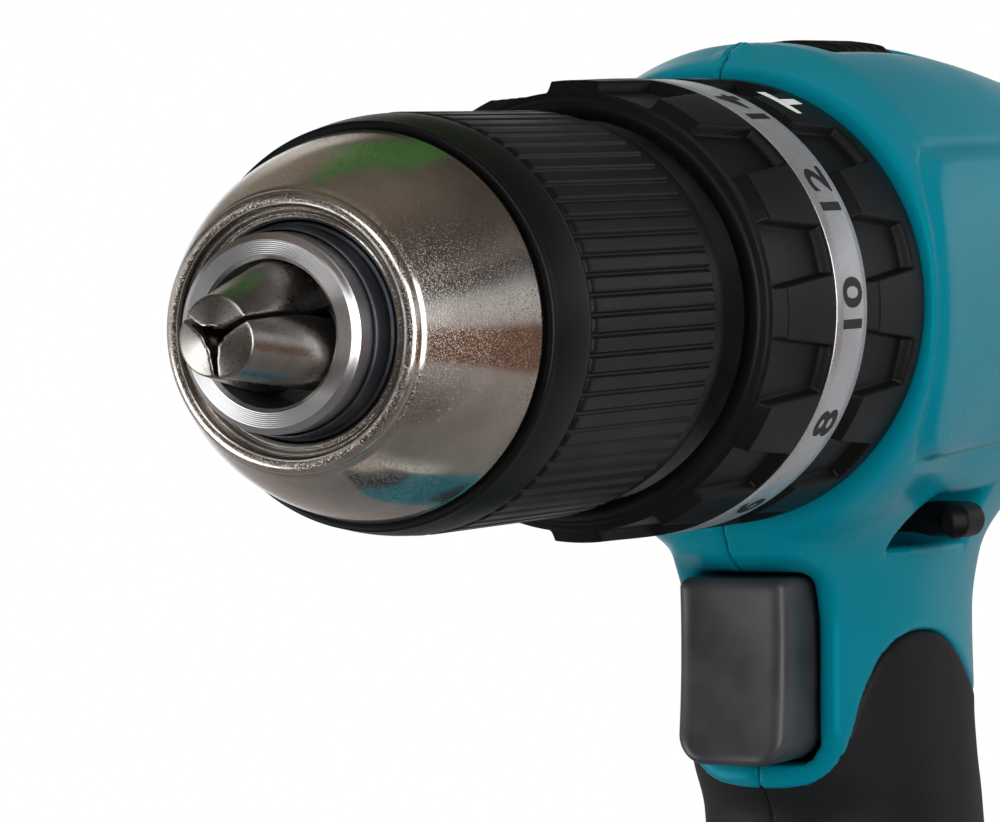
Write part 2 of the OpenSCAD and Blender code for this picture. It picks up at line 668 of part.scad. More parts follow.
// The first four rings with the fifth are the rear cover's, the rest the housing's
module barrel() loft([for (k = [4:len(barrel_rings) - 1]) barrel_rings[k]]);
module cover_form() loft([for (k = [0:4]) barrel_rings[k]]);

// Handle rows: depth below the axis, front x, rear x, half width and squareness
handle_end = axis_h - foot_top;
handle_mid = (handle_end + 62) / 2;
front_x = trigger_x - 5.6;
handle_rows = [
    [16, collar_x - 4, collar_x - 74, 20.4, 2.8],
    [25, collar_x - 4.5, collar_x - 62.5, 17.2, 2.7],
    [31.6, collar_x - 5.5, collar_x - 57.6, 15.4, 2.6],
    [38, front_x, collar_x - 55.6, 14.6, 2.5],
    [50, front_x - 0.4, collar_x - 55.4, 14.4, 2.4],
    [55, front_x - 2.6, collar_x - 55.8, 14.4, 2.4],
    [61, front_x - 6.4, collar_x - 56.6, 14.5, 2.4],
    [handle_mid - 10, front_x - 9.5, collar_x - 61, 15, 2.4],
    [handle_mid + 10, front_x - 14, collar_x - 66, 16, 2.4],
    [handle_end - 14, front_x - 16, collar_x - 71, 17.2, 2.5],
    [handle_end - 4, front_x - 13, collar_x - 75, 20, 2.8],
    [handle_end + 6, front_x - 6, collar_x - 82, 25, 3]];

// Ring of the handle for one row, shrunk all round by inset
function handle_ring(row, inset) = [for (i = [0:sides - 1])
    let (p = super(360 * (i + 0.5) / sides, (row[1] - row[2]) / 2 - inset, row[3] - inset, row[4]))
    [(row[1] + row[2]) / 2 + p[0], p[1], axis_h - row[0]]];
module handle(inset = 0) loft([for (k = [len(handle_rows) - 1:-1:0]) handle_ring(handle_rows[k], inset)]);

// Foot rows: height, half length, half width and middle
foot_l = battery_l / 2 - 3;
foot_w = battery_w / 2 - 0.6;
foot_rows = [
    [shoulder_z, foot_l, foot_w, 0],
    [shoulder_z + 11, foot_l, foot_w, 0],
    [shoulder_z + 15.5, foot_l - 2, foot_w - 2.4, -1],
    [shoulder_z + 20, foot_l - 11, foot_w - 8, -6],
    [foot_top, foot_l - 22, foot_w - 15, -13]];
// Squareness of the foot's and the battery's outline
box_power = 6;
// Rounded box through rows of [height, half length, half width, middle x], shrunk all round by inset
module stack(rows, inset = 0) loft([for (r = rows) [for (i = [0:sides - 1])
    let (p = super(360 * (i + 0.5) / sides, r[1] - inset, r[2] - inset, box_power)) [r[3] + p[0], p[1], r[0]]]]);
module foot() stack(foot_rows);

// Side view of the rubber grip, as [x, depth below the axis]
grip_outline = [[45, 56.5], [front_x - 3, 56.5], [front_x - 3.8, 55.6], [front_x - 5.2, 50.3], [front_x - 6.4, 47.4],
    [front_x - 8.6, 43.8], [front_x - 11.8, 40.6], [front_x - 15, 39.6], [front_x - 18.4, 39.4], [front_x - 23, 39.9],
    [front_x - 27.5, 41.6], [front_x - 34.8, 46.2], [front_x - 40, 48.6], [front_x - 48, 50.4],
    [-70, 50.4], [-70, handle_end - 6], [45, handle_end - 6]];
module grip_zone() translate([0, 40, axis_h]) rotate([90, 0, 0]) linear_extrude(height = 80)
    polygon([for (p = grip_outline) [p[0], -p[1]]]);

// ---------- Housing ----------

screw_r0 = 1.5;
// Middle of each side screw, as [x, height]
side_screws = [[collar_x - 50, axis_h + 22.4], [collar_x - 51, axis_h - 29], [-13, axis_h - 72], [-19, axis_h - 108],
    [33, shoulder_z + 11.5], [-46, shoulder_z + 11.5]];
rear_screws = [for (y = [-9, 9], z = [-19, 19]) [y, z]];
boss_y = 9;
module side_screw(p, grow) translate([p[0], 0, p[1]]) rotate([90, 0, 0]) {
    translate([0, 0, -boss_y - grow]) cylinder(h = 2 * boss_y + grow, r = screw_r0 + grow, $fn = 24);
    translate([0, 0, boss_y - grow]) cylinder(h = 2 + (grow > 0 ? 40 : 0), r = 3.1 + grow, $fn = 24);
}
module rear_screw(p, grow) translate([cover_x, p[0], axis_h + p[1]]) rotate([0, -90, 0]) {
    translate([0, 0, -4.4 - grow]) cylinder(h = 10, r = 1.3 + grow, $fn = 24);
    translate([0, 0, 5 - grow]) cylinder(h = 2 + (grow > 0 ? 40 : 0), r = 2.4 + grow, $fn = 24);
}
module housing_screws() color(steel) {
    for (p = side_screws) side_screw(p, 0);
    for (p = rear_screws) rear_screw(p, 0);
}

insert_x = 22;
insert_z = shoulder_z + 13;
insert_l = 8;
insert_y = foot_w - 3;
insert_hole_r = 1.65;
// Threaded inserts that take a belt hook on either side of the foot
module hook_inserts() color(bronze) for (s = [-1, 1]) translate([insert_x, s * insert_y, insert_z])
    rotate([s * 90, 0, 0]) difference() {
        cylinder(h = insert_l, r = 3);
        translate([0, 0, -1]) cylinder(h = insert_l + 2, r = insert_hole_r);
    }

lever_z = axis_h - lever_h;
lever_t = 3.2;
lever_pin_r = 2.2;
lever_pin_l = 8;
lead_x = -2;
// Window for the direction lever's knobs, with a rounded front
module lever_window() translate([0, 40, 0]) rotate([90, 0, 0]) linear_extrude(height = 80) polygon(concat(
    [[lever_pin_x - 24.5, lever_z - 3], [lever_pin_x - 24.5, lever_z + 3]],
    [for (a = [90:-15:0]) [lever_pin_x - 7.5 + 6 * cos(a), lever_z - 3 + 6 * sin(a)]]));

// Everything that the two housing halves are hollowed by
module hollows() {
    tube(case_rear_x - 1.2, collar_x + 1, barrel_in);
    tube(flange_x - fit, flange_x + flange_t + fit, flange_out + fit);
    tube(ring_2_x + 0.5, flange_x - 0.1, barrel_in + 2);
    tube(cover_x - 1, motor_rear_x, rear_bay_r);
    difference() {
        tube(motor_rear_x - 1, case_rear_x - 1, motor_bay_r);
        for (x = [motor_x - 12, motor_rear_x + 8]) tube(x, x + 3, motor_bay_r + 1, motor_d / 2 + fit);
    }
    // Speed slider's window, and the channel for its fork
    translate([slot_x0, -speed_w / 2 - 0.4, axis_h + 20]) cube([slot_l, speed_w + 0.8, 20]);
    translate([slot_x0 - 2, -speed_w / 2 - 3, axis_h + 20]) cube([flange_x - slot_x0 + 2, speed_w + 6, 6.4]);
    // Direction lever
    lever_window();
    translate([lever_pin_x - 24, -12, lever_z - 2.2]) cube([30, 24, 4.4]);
    translate([lever_pin_x, 0, lever_z - lever_pin_l / 2 - 0.2]) cylinder(h = lever_pin_l + 0.4, r = lever_pin_r + run_fit);
    // Trigger slot, switch bay and the way down for the leads
    translate([switch_x1 - 1, -trigger_w / 2 - trigger_gap, axis_h - trigger_top - trigger_h - trigger_gap])
        cube([40, trigger_w + 2 * trigger_gap, trigger_h + 2 * trigger_gap]);
    translate([switch_x1 - switch_l - fit, -switch_w / 2 - fit, axis_h - switch_top - switch_h - fit])
        cube([switch_l + 2 * fit, switch_w + 2 * fit, switch_h + 2 * fit]);
    translate([lead_x, 0, rail_top + 4]) cylinder(h = axis_h - switch_top - switch_h - rail_top - 3, r = 4.5);
    translate([-foot_l + 38, -4, rail_top + 1]) cube([lead_x + foot_l - 36, 8, 6]);
    translate([switch_x1 - switch_l + 4, 0, axis_h - switch_top - 1]) cylinder(h = 16, r = 3);
    // Rail channel, terminal pocket and latch pocket
    translate([-foot_l + 12, -rail_neck - rail_gap, shoulder_z - 1]) cube([2 * foot_l, 2 * (rail_neck + rail_gap), 6]);
    translate([-foot_l + 12, -rail_w / 2 - rail_gap, battery_h + rail_h0 - rail_gap])
        cube([2 * foot_l, rail_w + 2 * rail_gap, rail_h1 + 2 * rail_gap]);
    translate([-foot_l + 14, -15.2, rail_top]) cube([26, 30.4, 5.4]);
    translate([latch_x - fit, -latch_w / 2 - 1, rail_top]) cube([2 * foot_l, latch_w + 2, 4]);
    // Hook inserts and screws
    for (s = [-1, 1]) translate([insert_x, s * (insert_y - insert_l - 0.1), insert_z]) rotate([-s * 90, 0, 0]) {
        cylinder(h = insert_l + 1, r = 3.05);
        translate([0, 0, insert_l + 0.1]) cylinder(h = 10, r = 5);
    }
    for (p = side_screws) side_screw(p, 0.1);
    for (p = rear_screws) rear_screw(p, 0.1);
}

module housing_half(side) color(teal) difference() {
    intersection() {
        union() {
            barrel();
            handle_core();
            foot();
        }
        translate([-120, side > 0 ? 0 : -60, 0]) cube([240, 60, axis_h + 60]);
    }
    hollows();
}

// Handle with its surface cut back where the rubber lies
module handle_core() {
    handle(grip_t);
    difference() {
        handle();
        grip_zone();
    }
}

module grip(side) color(black) difference() {
    intersection() {
        handle();
        grip_zone();
        translate([-120, side > 0 ? 0 : -60, 0]) cube([240, 60, axis_h + 60]);
    }
    handle(grip_t);
    for (p = side_screws) side_screw(p, 0.1);
    translate([switch_x1 - 1, -trigger_w / 2 - trigger_gap, axis_h - trigger_top - trigger_h - trigger_gap])
        cube([40, trigger_w + 2 * trigger_gap, trigger_h + 2 * trigger_gap]);
}

module housing_left() housing_half(1);
module housing_right() housing_half(-1);
module grip_left() grip(1);
module grip_right() grip(-1);

module rear_cover() color(teal) difference() {
    cover_form();
    turned([[rear_x + 3, 0], [cover_x + 1, 0], [cover_x + 1, rear_bay_r], [rear_x + 8, rear_bay_r], [rear_x + 3, 12]]);
    for (s = [-1, 1], z = [-12:6:12]) translate([rear_x + 13, s * 10, axis_h + z]) rotate([-s * 90, 0, 0])
        linear_extrude(height = 20) polygon(round_box(11, 2.4, 1.1));
    for (p = rear_screws) rear_screw(p, 0.1);
}

// ---------- Controls ----------

trigger_rear_x = switch_x1 + trigger_travel + 2;
// Trigger rows: share of the height from the top, front x and half width
function trigger_row(s) = [s, trigger_x - 1.4 - 1.6 * s + 4 * s * s, trigger_w / 2 - 0.9 + 0.9 * s * s];
function trigger_ring(row) = concat(
    [[trigger_rear_x, row[2], axis_h - trigger_top - trigger_h * row[0]],
        [trigger_rear_x, -row[2], axis_h - trigger_top - trigger_h * row[0]]],
    [for (t = [-90:15:90]) let (p = super(t, 4.6, row[2], 2.6))
        [row[1] - 4.6 + p[0], p[1], axis_h - trigger_top - trigger_h * row[0]]]);
module trigger() color(grey) loft([for (s = [1:-0.1:0]) trigger_ring(trigger_row(s))]);

plunger_z = axis_h - switch_top - 10;
plunger_r = 2.5;
module trigger_switch() color(black) difference() {
    union() {
        translate([switch_x1 - switch_l, -switch_w / 2, axis_h - switch_top - switch_h])
            cube([switch_l, switch_w, switch_h]);
        translate([switch_x1 - 0.5, 0, plunger_z]) rotate([0, 90, 0]) cylinder(h = 1.9, r = 4.4);
    }
    translate([switch_x1 - 15, 0, plunger_z]) rotate([0, 90, 0]) cylinder(h = 20, r = plunger_r + run_fit);
}
module switch_plunger() color(steel) translate([switch_x1 - 8, 0, plunger_z]) rotate([0, 90, 0])
    cylinder(h = trigger_rear_x - switch_x1 + 8, r = plunger_r);

knob_x = lever_pin_x - 12.5;
knob_l = 8;
// Forward and reverse lever: a pivoted bar whose knobs show on both sides
module direction_lever() color(black) {
    translate([0, 0, lever_z - lever_t / 2]) linear_extrude(height = lever_t) polygon([
        [lever_pin_x + 3.6, -3], [lever_pin_x + 3.6, 3], [knob_x + knob_l / 2 + 3, 6], [knob_x + knob_l / 2, lever_reach - 1.4],
        [knob_x + knob_l / 2 - 1.4, lever_reach], [knob_x - knob_l / 2 + 1.4, lever_reach],
        [knob_x - knob_l / 2, lever_reach - 1.4], [knob_x - knob_l / 2, 1.4 - lever_reach],
        [knob_x - knob_l / 2 + 1.4, -lever_reach], [knob_x + knob_l / 2 - 1.4, -lever_reach],
        [knob_x + knob_l / 2, 1.4 - lever_reach], [knob_x + knob_l / 2 + 3, -6]]);
    translate([lever_pin_x, 0, lever_z - lever_pin_l / 2]) cylinder(h = lever_pin_l, r = lever_pin_r);
}

fork_x = ring_2_x + 2.2 + groove_t / 2;
fork_t = 2;
fork_r0 = case_d / 2 + fit;
fork_r1 = fork_r0 + 1.7;
plate_z = axis_h + fork_r0 + 0.9;
plate_t = 2;
// Thumb slider: a plate under the crown and a ridged block in its window
module speed_slider() color(black) {
    translate([slot_x0 - 1, -9.5, plate_z]) cube([fork_x - fork_t / 2 - slot_x0 + 1, 19, plate_t]);
    translate([speed_x0, -speed_w / 2, plate_z]) cube([speed_l, speed_w, crown_h + axis_h - 0.6 - plate_z]);
    for (k = [0:4]) translate([speed_x0 + 2.2 + k * (speed_l - 4.4) / 4, speed_w / 2 - 1, axis_h + crown_h - 0.7])
        rotate([90, 0, 0]) cylinder(h = speed_w - 2, r = 0.9, $fn = 24);
}

// Fork that carries the sliding ring gear, with a pin through each side of the gear case
module shift_fork() color(steel) {
    intersection() {
        tube(fork_x - fork_t / 2, fork_x + fork_t / 2, fork_r1, fork_r0);
        translate([0, -40, axis_h - 3.4]) cube([60, 80, 40]);
    }
    translate([fork_x - fork_t / 2, -4, axis_h + fork_r0 + 0.5]) cube([fork_t, 8, plate_z + plate_t - axis_h - fork_r0 - 0.5]);
    for (s = [-1, 1]) translate([fork_x, s * (ring_gear_r - 0.8), axis_h]) rotate([-s * 90, 0, 0])
        cylinder(h = fork_r0 - ring_gear_r + 1.4, r = groove_t / 2 - 0.05, $fn = 24);
}

// ---------- Battery ----------

half_l = battery_l / 2;
half_w = battery_w / 2;
split_h = 26;
battery_wall = 1.4;
cell_inset = 3.1;
cell_l = battery_w - 2 * (battery_wall + cell_inset);
cell_rows = 5;
cell_pitch = cell_d + 0.5;
cell_z0 = 2.6 + cell_d / 2;
rail_x0 = -foot_l + 12.4;
rail_x1 = foot_l - 5;
latch_x = rail_x1 - 13;
latch_w = 16;
hook_l = 8;
latch_travel = 4;
latch_z = battery_h - 7;
button_w = 30;
contact_y = [-10, -3.5, 3.5, 10];
battery_rows = [[0, half_l - 3, half_w - 3, 0], [1, half_l - 1.4, half_w - 1.4, 0], [3, half_l, half_w, 0],
    [battery_h - 2, half_l, half_w, 0], [battery_h, half_l - 1.6, half_w - 1.6, 0]];

module battery_block(z0, z1) intersection() {
    stack(battery_rows);
    translate([-100, -100, z0]) cube([200, 200, z1 - z0]);
}
module cell_bay() intersection() {
    stack(battery_rows, battery_wall);
    translate([-cell_rows * cell_pitch / 2 - 0.4, -cell_l / 2 - 0.3, 2.2])
        cube([cell_rows * cell_pitch + 0.8, cell_l + 0.6, 2 * cell_pitch + 0.6]);
}

module battery_lower() color(black) difference() {
    battery_block(-1, split_h);
    cell_bay();
}

module battery_upper() color(grey) difference() {
    union() {
        battery_block(split_h, battery_h + 1);
        translate([rail_x0, -rail_neck, battery_h - 1]) cube([rail_x1 - rail_x0, 2 * rail_neck, rail_h0 + 2]);
        translate([rail_x0, -rail_w / 2, battery_h + rail_h0]) cube([rail_x1 - rail_x0, rail_w, rail_h1]);
    }
    cell_bay();
    for (y = contact_y) translate([rail_x0 - 1, y - 1.2, rail_top - 4]) cube([25, 2.4, 6]);
    // Well for the hook, passage for its arm and the button's recess
    translate([latch_x - 0.4, -latch_w / 2 - 0.4, latch_z - latch_travel - 0.3])
        cube([hook_l + 0.8, latch_w + 0.8, 40]);
    translate([latch_x, -latch_w / 2 - 0.4, latch_z - latch_travel - 0.3])
        cube([half_l, latch_w + 0.8, 4.6 + latch_travel]);
    translate([half_l - 5.4, -button_w / 2 - 0.4, latch_z - 12 - latch_travel - 0.4])
        cube([10, button_w + 0.8, 16.8 + latch_travel]);
}

module battery_cells() color(teal) for (x = [0:cell_rows - 1], z = [0, 1])
    translate([(x - (cell_rows - 1) / 2) * cell_pitch, cell_l / 2, cell_z0 + z * cell_pitch])
        rotate([90, 0, 0]) cylinder(h = cell_l, r = cell_d / 2);

module battery_latch() color(black) {
    translate([latch_x, -latch_w / 2, latch_z]) cube([hook_l, latch_w, rail_top + 2.6 - latch_z]);
    translate([latch_x, -latch_w / 2, latch_z]) cube([half_l - 5 - latch_x + eps, latch_w, 4]);
    translate([half_l - 5, -button_w / 2, latch_z - 12]) cube([4.6, button_w, 16]);
}

module terminal_block() color(bronze) {
    translate([-foot_l + 14.2, -15, rail_top + 0.5]) cube([25.6, 30, 4.9]);
    for (y = contact_y) translate([-foot_l + 15, y - 0.4, rail_top - 3.4]) cube([18, 0.8, 4]);
}

housing_left();
housing_right();
rear_cover();
grip_left();
grip_right();
housing_screws();
hook_inserts();
trigger();
trigger_switch();
switch_plunger();
direction_lever();
speed_slider();
shift_fork();
torque_ring();
number_band();
mode_ring();
gear_case();
clutch_nut();
clutch_spring();
clutch_balls();
ring_gear_1();
ring_gear_2();
ring_gear_3();
planet_1a();
planet_1b();
planet_1c();
planets_2();
planet_3a();
planet_3b();
planet_3c();
carrier_1();
carrier_2();
carrier_3();
spindle();
spindle_bearings();
fixed_ratchet();
turning_ratchet();
chuck_body();
chuck_screw();
jaw_1();
jaw_2();
jaw_3();
jaw_nut();
nose_sleeve();
smooth_ring();
grip_sleeve();
back_ring();
motor_can();
motor_magnets();
armature();
armature_shaft();
commutator();
motor_fan();
brush_holder();
terminal_block();
battery_lower();
battery_upper();
battery_cells();
battery_latch();
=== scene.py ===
# Cordless combi drill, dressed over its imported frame: keyless chuck, rings, housing, grip and battery.
# X runs forward along the spindle, Y to the tool's left, Z up. Sizes are millimetres until a mesh is made.
import json
import math
from functools import partial, reduce

import bmesh
import bpy
import numpy as np
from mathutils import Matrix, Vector

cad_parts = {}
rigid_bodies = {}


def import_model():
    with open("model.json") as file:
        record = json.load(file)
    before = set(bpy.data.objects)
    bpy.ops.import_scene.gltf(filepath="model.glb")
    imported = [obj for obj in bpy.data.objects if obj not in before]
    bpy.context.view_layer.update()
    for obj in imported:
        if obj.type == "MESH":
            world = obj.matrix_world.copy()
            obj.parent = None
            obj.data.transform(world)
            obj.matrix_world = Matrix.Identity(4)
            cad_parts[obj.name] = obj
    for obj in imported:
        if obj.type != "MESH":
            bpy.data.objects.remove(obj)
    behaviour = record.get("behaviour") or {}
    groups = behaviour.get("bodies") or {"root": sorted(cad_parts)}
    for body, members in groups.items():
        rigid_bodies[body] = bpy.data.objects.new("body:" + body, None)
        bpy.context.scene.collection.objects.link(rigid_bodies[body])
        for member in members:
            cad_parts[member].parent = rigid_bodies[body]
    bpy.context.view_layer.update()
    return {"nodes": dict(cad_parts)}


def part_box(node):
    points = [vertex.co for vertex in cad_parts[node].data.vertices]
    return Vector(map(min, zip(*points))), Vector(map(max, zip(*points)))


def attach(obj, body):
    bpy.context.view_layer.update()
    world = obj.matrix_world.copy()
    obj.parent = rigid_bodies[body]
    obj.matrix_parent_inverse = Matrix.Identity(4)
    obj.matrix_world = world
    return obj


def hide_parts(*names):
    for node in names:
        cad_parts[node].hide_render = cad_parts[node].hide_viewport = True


for leftover in list(bpy.data.objects):
    bpy.data.objects.remove(leftover)
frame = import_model()
scene = bpy.context.scene
mm = 0.001
print("frame loaded with", len(frame["nodes"]), "nodes")


def span(node):
    low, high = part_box(node)
    return np.array(low) / mm, np.array(high) / mm


noseLow, noseHigh = span("nose_sleeve")
modeLow, modeHigh = span("mode_ring")
torqueLow, torqueHigh = span("torque_ring")
bandLow, bandHigh = span("number_band")
sleeveLow, sleeveHigh = span("grip_sleeve")
smoothLow, smoothHigh = span("smooth_ring")
coverLow, coverHigh = span("rear_cover")
triggerLow, triggerHigh = span("trigger")
leverLow, leverHigh = span("direction_lever")
sliderLow, sliderHigh = span("speed_slider")
jawLow, jawHigh = span("jaw_1")
axisH = (noseLow[2] + noseHigh[2]) / 2  # height of the spindle above the battery's base
collarX = modeLow[0] - 0.3  # front face of the housing


# Meshes

def buildMesh(points, faces):
    # points in mm, faces as one array of quads or triangles
    mesh = bpy.data.meshes.new("piece")
    mesh.vertices.add(len(points))
    mesh.vertices.foreach_set("co", (np.asarray(points, np.float64) * mm).astype(np.float32).ravel())
    mesh.loops.add(faces.size)
    mesh.loops.foreach_set("vertex_index", faces.astype(np.int32).ravel())
    mesh.polygons.add(len(faces))
    mesh.polygons.foreach_set("loop_start", np.arange(0, faces.size, faces.shape[1], dtype=np.int32))
    mesh.polygons.foreach_set("use_smooth", np.ones(len(faces), bool))
    mesh.update(calc_edges=True)
    mesh.validate()
    return mesh


def place(name, mesh, body, finish, replaces=()):
    mesh.name = name
    piece = bpy.data.objects.new(name, mesh)
    scene.collection.objects.link(piece)
    mesh.materials.append(finish)
    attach(piece, body)
    if replaces:
        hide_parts(*replaces)


def volumeSign(points, quads):
    a, b, c, d = (points[quads[:, i]] for i in range(4))
    return np.einsum("ij,ij->i", a, np.cross(b, c)).sum() + np.einsum("ij,ij->i", a, np.cross(c, d)).sum()


def ringMesh(rows, steps=256):
    # rows of (x, radius), the last joined to the first; a radius may be an array round the axis
    angles = np.linspace(0, 2 * np.pi, steps, endpoint=False)
    radii = np.array([np.broadcast_to(r, steps) for _, r in rows], float)
    xs = np.broadcast_to(np.array([x for x, _ in rows], float)[:, None], radii.shape)
    points = np.stack([xs, -radii * np.sin(angles), axisH + radii * np.cos(angles)], axis=2).reshape(-1, 3)
    k, j = np.meshgrid(np.arange(len(rows)), np.arange(steps), indexing="ij")
    k2, j2 = (k + 1) % len(rows), (j + 1) % steps
    corners = [k * steps + j, k2 * steps + j, k2 * steps + j2, k * steps + j2]
    quads = np.stack(corners, axis=2).reshape(-1, 4)
    if volumeSign(points - [xs.mean(), 0, axisH], quads) < 0:
        quads = quads[:, ::-1]
    return buildMesh(points, quads)


def arc(cx, cr, radius, start, end, count=6):
    # points of an arc in the (x, r) plane, angles in degrees from +x towards +r
    return [(cx + radius * math.cos(math.radians(a)), cr + radius * math.sin(math.radians(a)))
            for a in np.linspace(start, end, count)]


def softMin(a, b, k):
    h = np.clip(0.5 + 0.5 * (b - a) / k, 0, 1)
    return b + (a - b) * h - k * h * (1 - h)


def softMax(a, b, k):
    return -softMin(-a, -b, k)


def smoothStep(t):
    t = np.clip(t, 0, 1)
    return t * t * (3 - 2 * t)


def reach(a, b):
    return np.sqrt(a * a + b * b)


def smoothTable(knots, values):
    # cubic through the knots that never overshoots them
    knots, values = np.asarray(knots, float), np.asarray(values, float)
    if knots[0] > knots[-1]:
        knots, values = knots[::-1], values[::-1]
    width = np.diff(knots)
    slope = np.diff(values) / width
    tangent = np.zeros_like(values)
    tangent[0], tangent[-1] = slope[0], slope[-1]
    same = slope[1:] * slope[:-1] > 0
    w1, w2 = 2 * width[1:] + width[:-1], width[1:] + 2 * width[:-1]
    with np.errstate(divide="ignore", invalid="ignore"):
        mean = (w1 + w2) / (w1 / slope[:-1] + w2 / slope[1:])
    tangent[1:-1] = np.where(same, mean, 0)
    dense = np.linspace(knots[0], knots[-1], 600)
    i = np.clip(np.searchsorted(knots, dense, side="right") - 1, 0, len(width) - 1)
    t = (dense - knots[i]) / width[i]
    curve = ((2 * t**3 - 3 * t**2 + 1) * values[i] + (t**3 - 2 * t**2 + t) * width[i] * tangent[i]
             + (3 * t**2 - 2 * t**3) * values[i + 1] + (t**3 - t**2) * width[i] * tangent[i + 1])
    return lambda x: np.interp(x, dense, curve)


def squircle(u, v, a, b, power):
    # distance to a superellipse along the ray from its middle
    rho = (np.abs(u / a) ** power + np.abs(v / b) ** power) ** (1 / power)
    return reach(u, v) * (1 - 1 / np.maximum(rho, 1e-4))


def roundedSlot(across, tall, corner):
    # distance to a rectangle with rounded corners, from the distances past its sides
    across, tall = across + corner, tall + corner
    outside = np.sqrt(np.maximum(across, 0) ** 2 + np.maximum(tall, 0) ** 2)
    return outside + np.minimum(np.maximum(across, tall), 0) - corner


def boxField(x, y, z, low, high, edge=0.3):
    sides = [np.abs(c - (a + b) / 2) - (b - a) / 2 for c, a, b in zip((x, y, z), low, high)]
    return softMax(softMax(sides[0], sides[1], edge), sides[2], edge)


def tubeField(x, y, z, x0, x1, radius):
    return np.maximum(reach(y, z - axisH) - radius, np.abs(x - (x0 + x1) / 2) - (x1 - x0) / 2)


def outlineDistance(u, v, outline):
    # signed distance to a closed outline, negative inside
    u, v = np.broadcast_arrays(u, v)
    best = np.full(u.shape, 1e9)
    inside = np.zeros(u.shape, bool)
    outline = np.array(outline, float)
    for p, q in zip(outline, np.roll(outline, -1, axis=0)):
        e = q - p
        t = np.clip(((u - p[0]) * e[0] + (v - p[1]) * e[1]) / (e @ e), 0, 1)
        best = np.minimum(best, (u - p[0] - t * e[0]) ** 2 + (v - p[1] - t * e[1]) ** 2)
        crosses = (p[1] > v) != (q[1] > v)
        with np.errstate(divide="ignore", invalid="ignore"):
            inside ^= crosses & (u < p[0] + (v - p[1]) * e[0] / (e[1] if e[1] else 1e-9))
    return np.where(inside, -1, 1) * np.sqrt(best)


def smoothOutline(points, rounds=3):
    # closed outline with its corners cut again and again, so that it never overshoots
    points = np.array(points, float)
    for _ in range(rounds):
        after = np.roll(points, -1, axis=0)
        points = np.stack([0.75 * points + 0.25 * after, 0.25 * points + 0.75 * after], axis=1).reshape(-1, 2)
    return points


def gridAxis(low, high, step, fine=()):
    # grid lines every step, closer together within each part of fine = (from, to, step)
    spots = [low - 1.51 * step]
    while spots[-1] < high + 1.5 * step:
        here = [size for start, end, size in fine if start <= spots[-1] < end]
        spots.append(spots[-1] + min([step] + here))
    return np.array(spots)


def fieldMesh(field, low, high, step, fine=((), (), ())):
    # surface of field(x, y, z) = 0 on a grid of boxes: one point per crossed box, pulled onto the surface
    axes = [gridAxis(a, b, step, part) for a, b, part in zip(low, high, fine)]
    shape = [len(a) for a in axes]
    values = field(axes[0].reshape(-1, 1, 1), axes[1].reshape(1, -1, 1), axes[2].reshape(1, 1, -1))
    values = np.broadcast_to(values, shape).astype(np.float32)
    inside = values < 0
    cells = [s - 1 for s in shape]
    ids, spots, quads = [], [], []
    for axis in range(3):
        lower, upper = [slice(None)] * 3, [slice(None)] * 3
        lower[axis], upper[axis] = slice(None, -1), slice(1, None)
        where = np.argwhere(inside[tuple(lower)] != inside[tuple(upper)])
        o1, o2 = (axis + 1) % 3, (axis + 2) % 3
        ok = (where[:, o1] > 0) & (where[:, o2] > 0) & (where[:, o1] < cells[o1]) & (where[:, o2] < cells[o2])
        where = where[ok]
        v0 = values[tuple(where.T)]
        shifted = where.copy()
        shifted[:, axis] += 1
        v1 = values[tuple(shifted.T)]
        spot = where.astype(float)
        spot[:, axis] += v0 / (v0 - v1)
        around = []
        for d1, d2 in ((-1, -1), (0, -1), (0, 0), (-1, 0)):
            cell = where.copy()
            cell[:, o1] += d1
            cell[:, o2] += d2
            around.append((cell[:, 0] * cells[1] + cell[:, 1]) * cells[2] + cell[:, 2])
            spots.append(spot)
        ids.extend(around)
        quad = np.stack(around, axis=1)
        quads.append(np.where((v0 < 0)[:, None], quad, quad[:, ::-1]))
    used, index = np.unique(np.concatenate(ids), return_inverse=True)
    spots = np.concatenate(spots)
    amount = np.bincount(index)
    points = np.stack([np.bincount(index, spots[:, c]) / amount for c in range(3)], axis=1)
    points = np.stack([np.interp(points[:, c], np.arange(shape[c]), axes[c]) for c in range(3)], axis=1)
    quads = np.searchsorted(used, np.concatenate(quads))
    start = points.copy()
    h = 0.05 * step
    for _ in range(4):
        x, y, z = points.T
        f = field(x, y, z)
        slope = np.stack([field(x + h, y, z) - f, field(x, y + h, z) - f, field(x, y, z + h) - f], axis=1) / h
        size = np.maximum((slope**2).sum(axis=1), 0.05)
        points = points - 0.9 * slope * (f / size)[:, None]
        away = points - start
        length = np.sqrt((away**2).sum(axis=1))
        points = start + away * np.minimum(1, 0.7 * step / np.maximum(length, 1e-9))[:, None]
    return buildMesh(points, quads)


def carve(name, field, node, body, finish, step, fine=((), (), ())):
    # a piece with the shape of a field, in place of one node
    mesh = fieldMesh(field, *span(node), step, fine)
    print(name, len(mesh.polygons), "faces")
    place(name, mesh, body, finish, [node])


# Materials

def toLinear(code):
    values = [int(code[i:i + 2], 16) / 255 for i in (1, 3, 5)]
    return tuple(v / 12.92 if v <= 0.04045 else ((v + 0.055) / 1.055) ** 2.4 for v in values) + (1.0,)


def feed(tree, node, values):
    # each value is another node's output, a constant for a socket, or a plain property
    for key, value in values.items():
        if isinstance(value, bpy.types.NodeSocket):
            tree.links.new(value, node.inputs[key])
        elif isinstance(key, int) or key in node.inputs:
            node.inputs[key].default_value = value
        else:
            setattr(node, key, value)
    return node


def addNode(tree, kind, values=None):
    return feed(tree, tree.nodes.new("ShaderNode" + kind), values or {})


def calc(tree, operation, *values):
    return addNode(tree, "Math", {"operation": operation, **dict(enumerate(values))}).outputs[0]


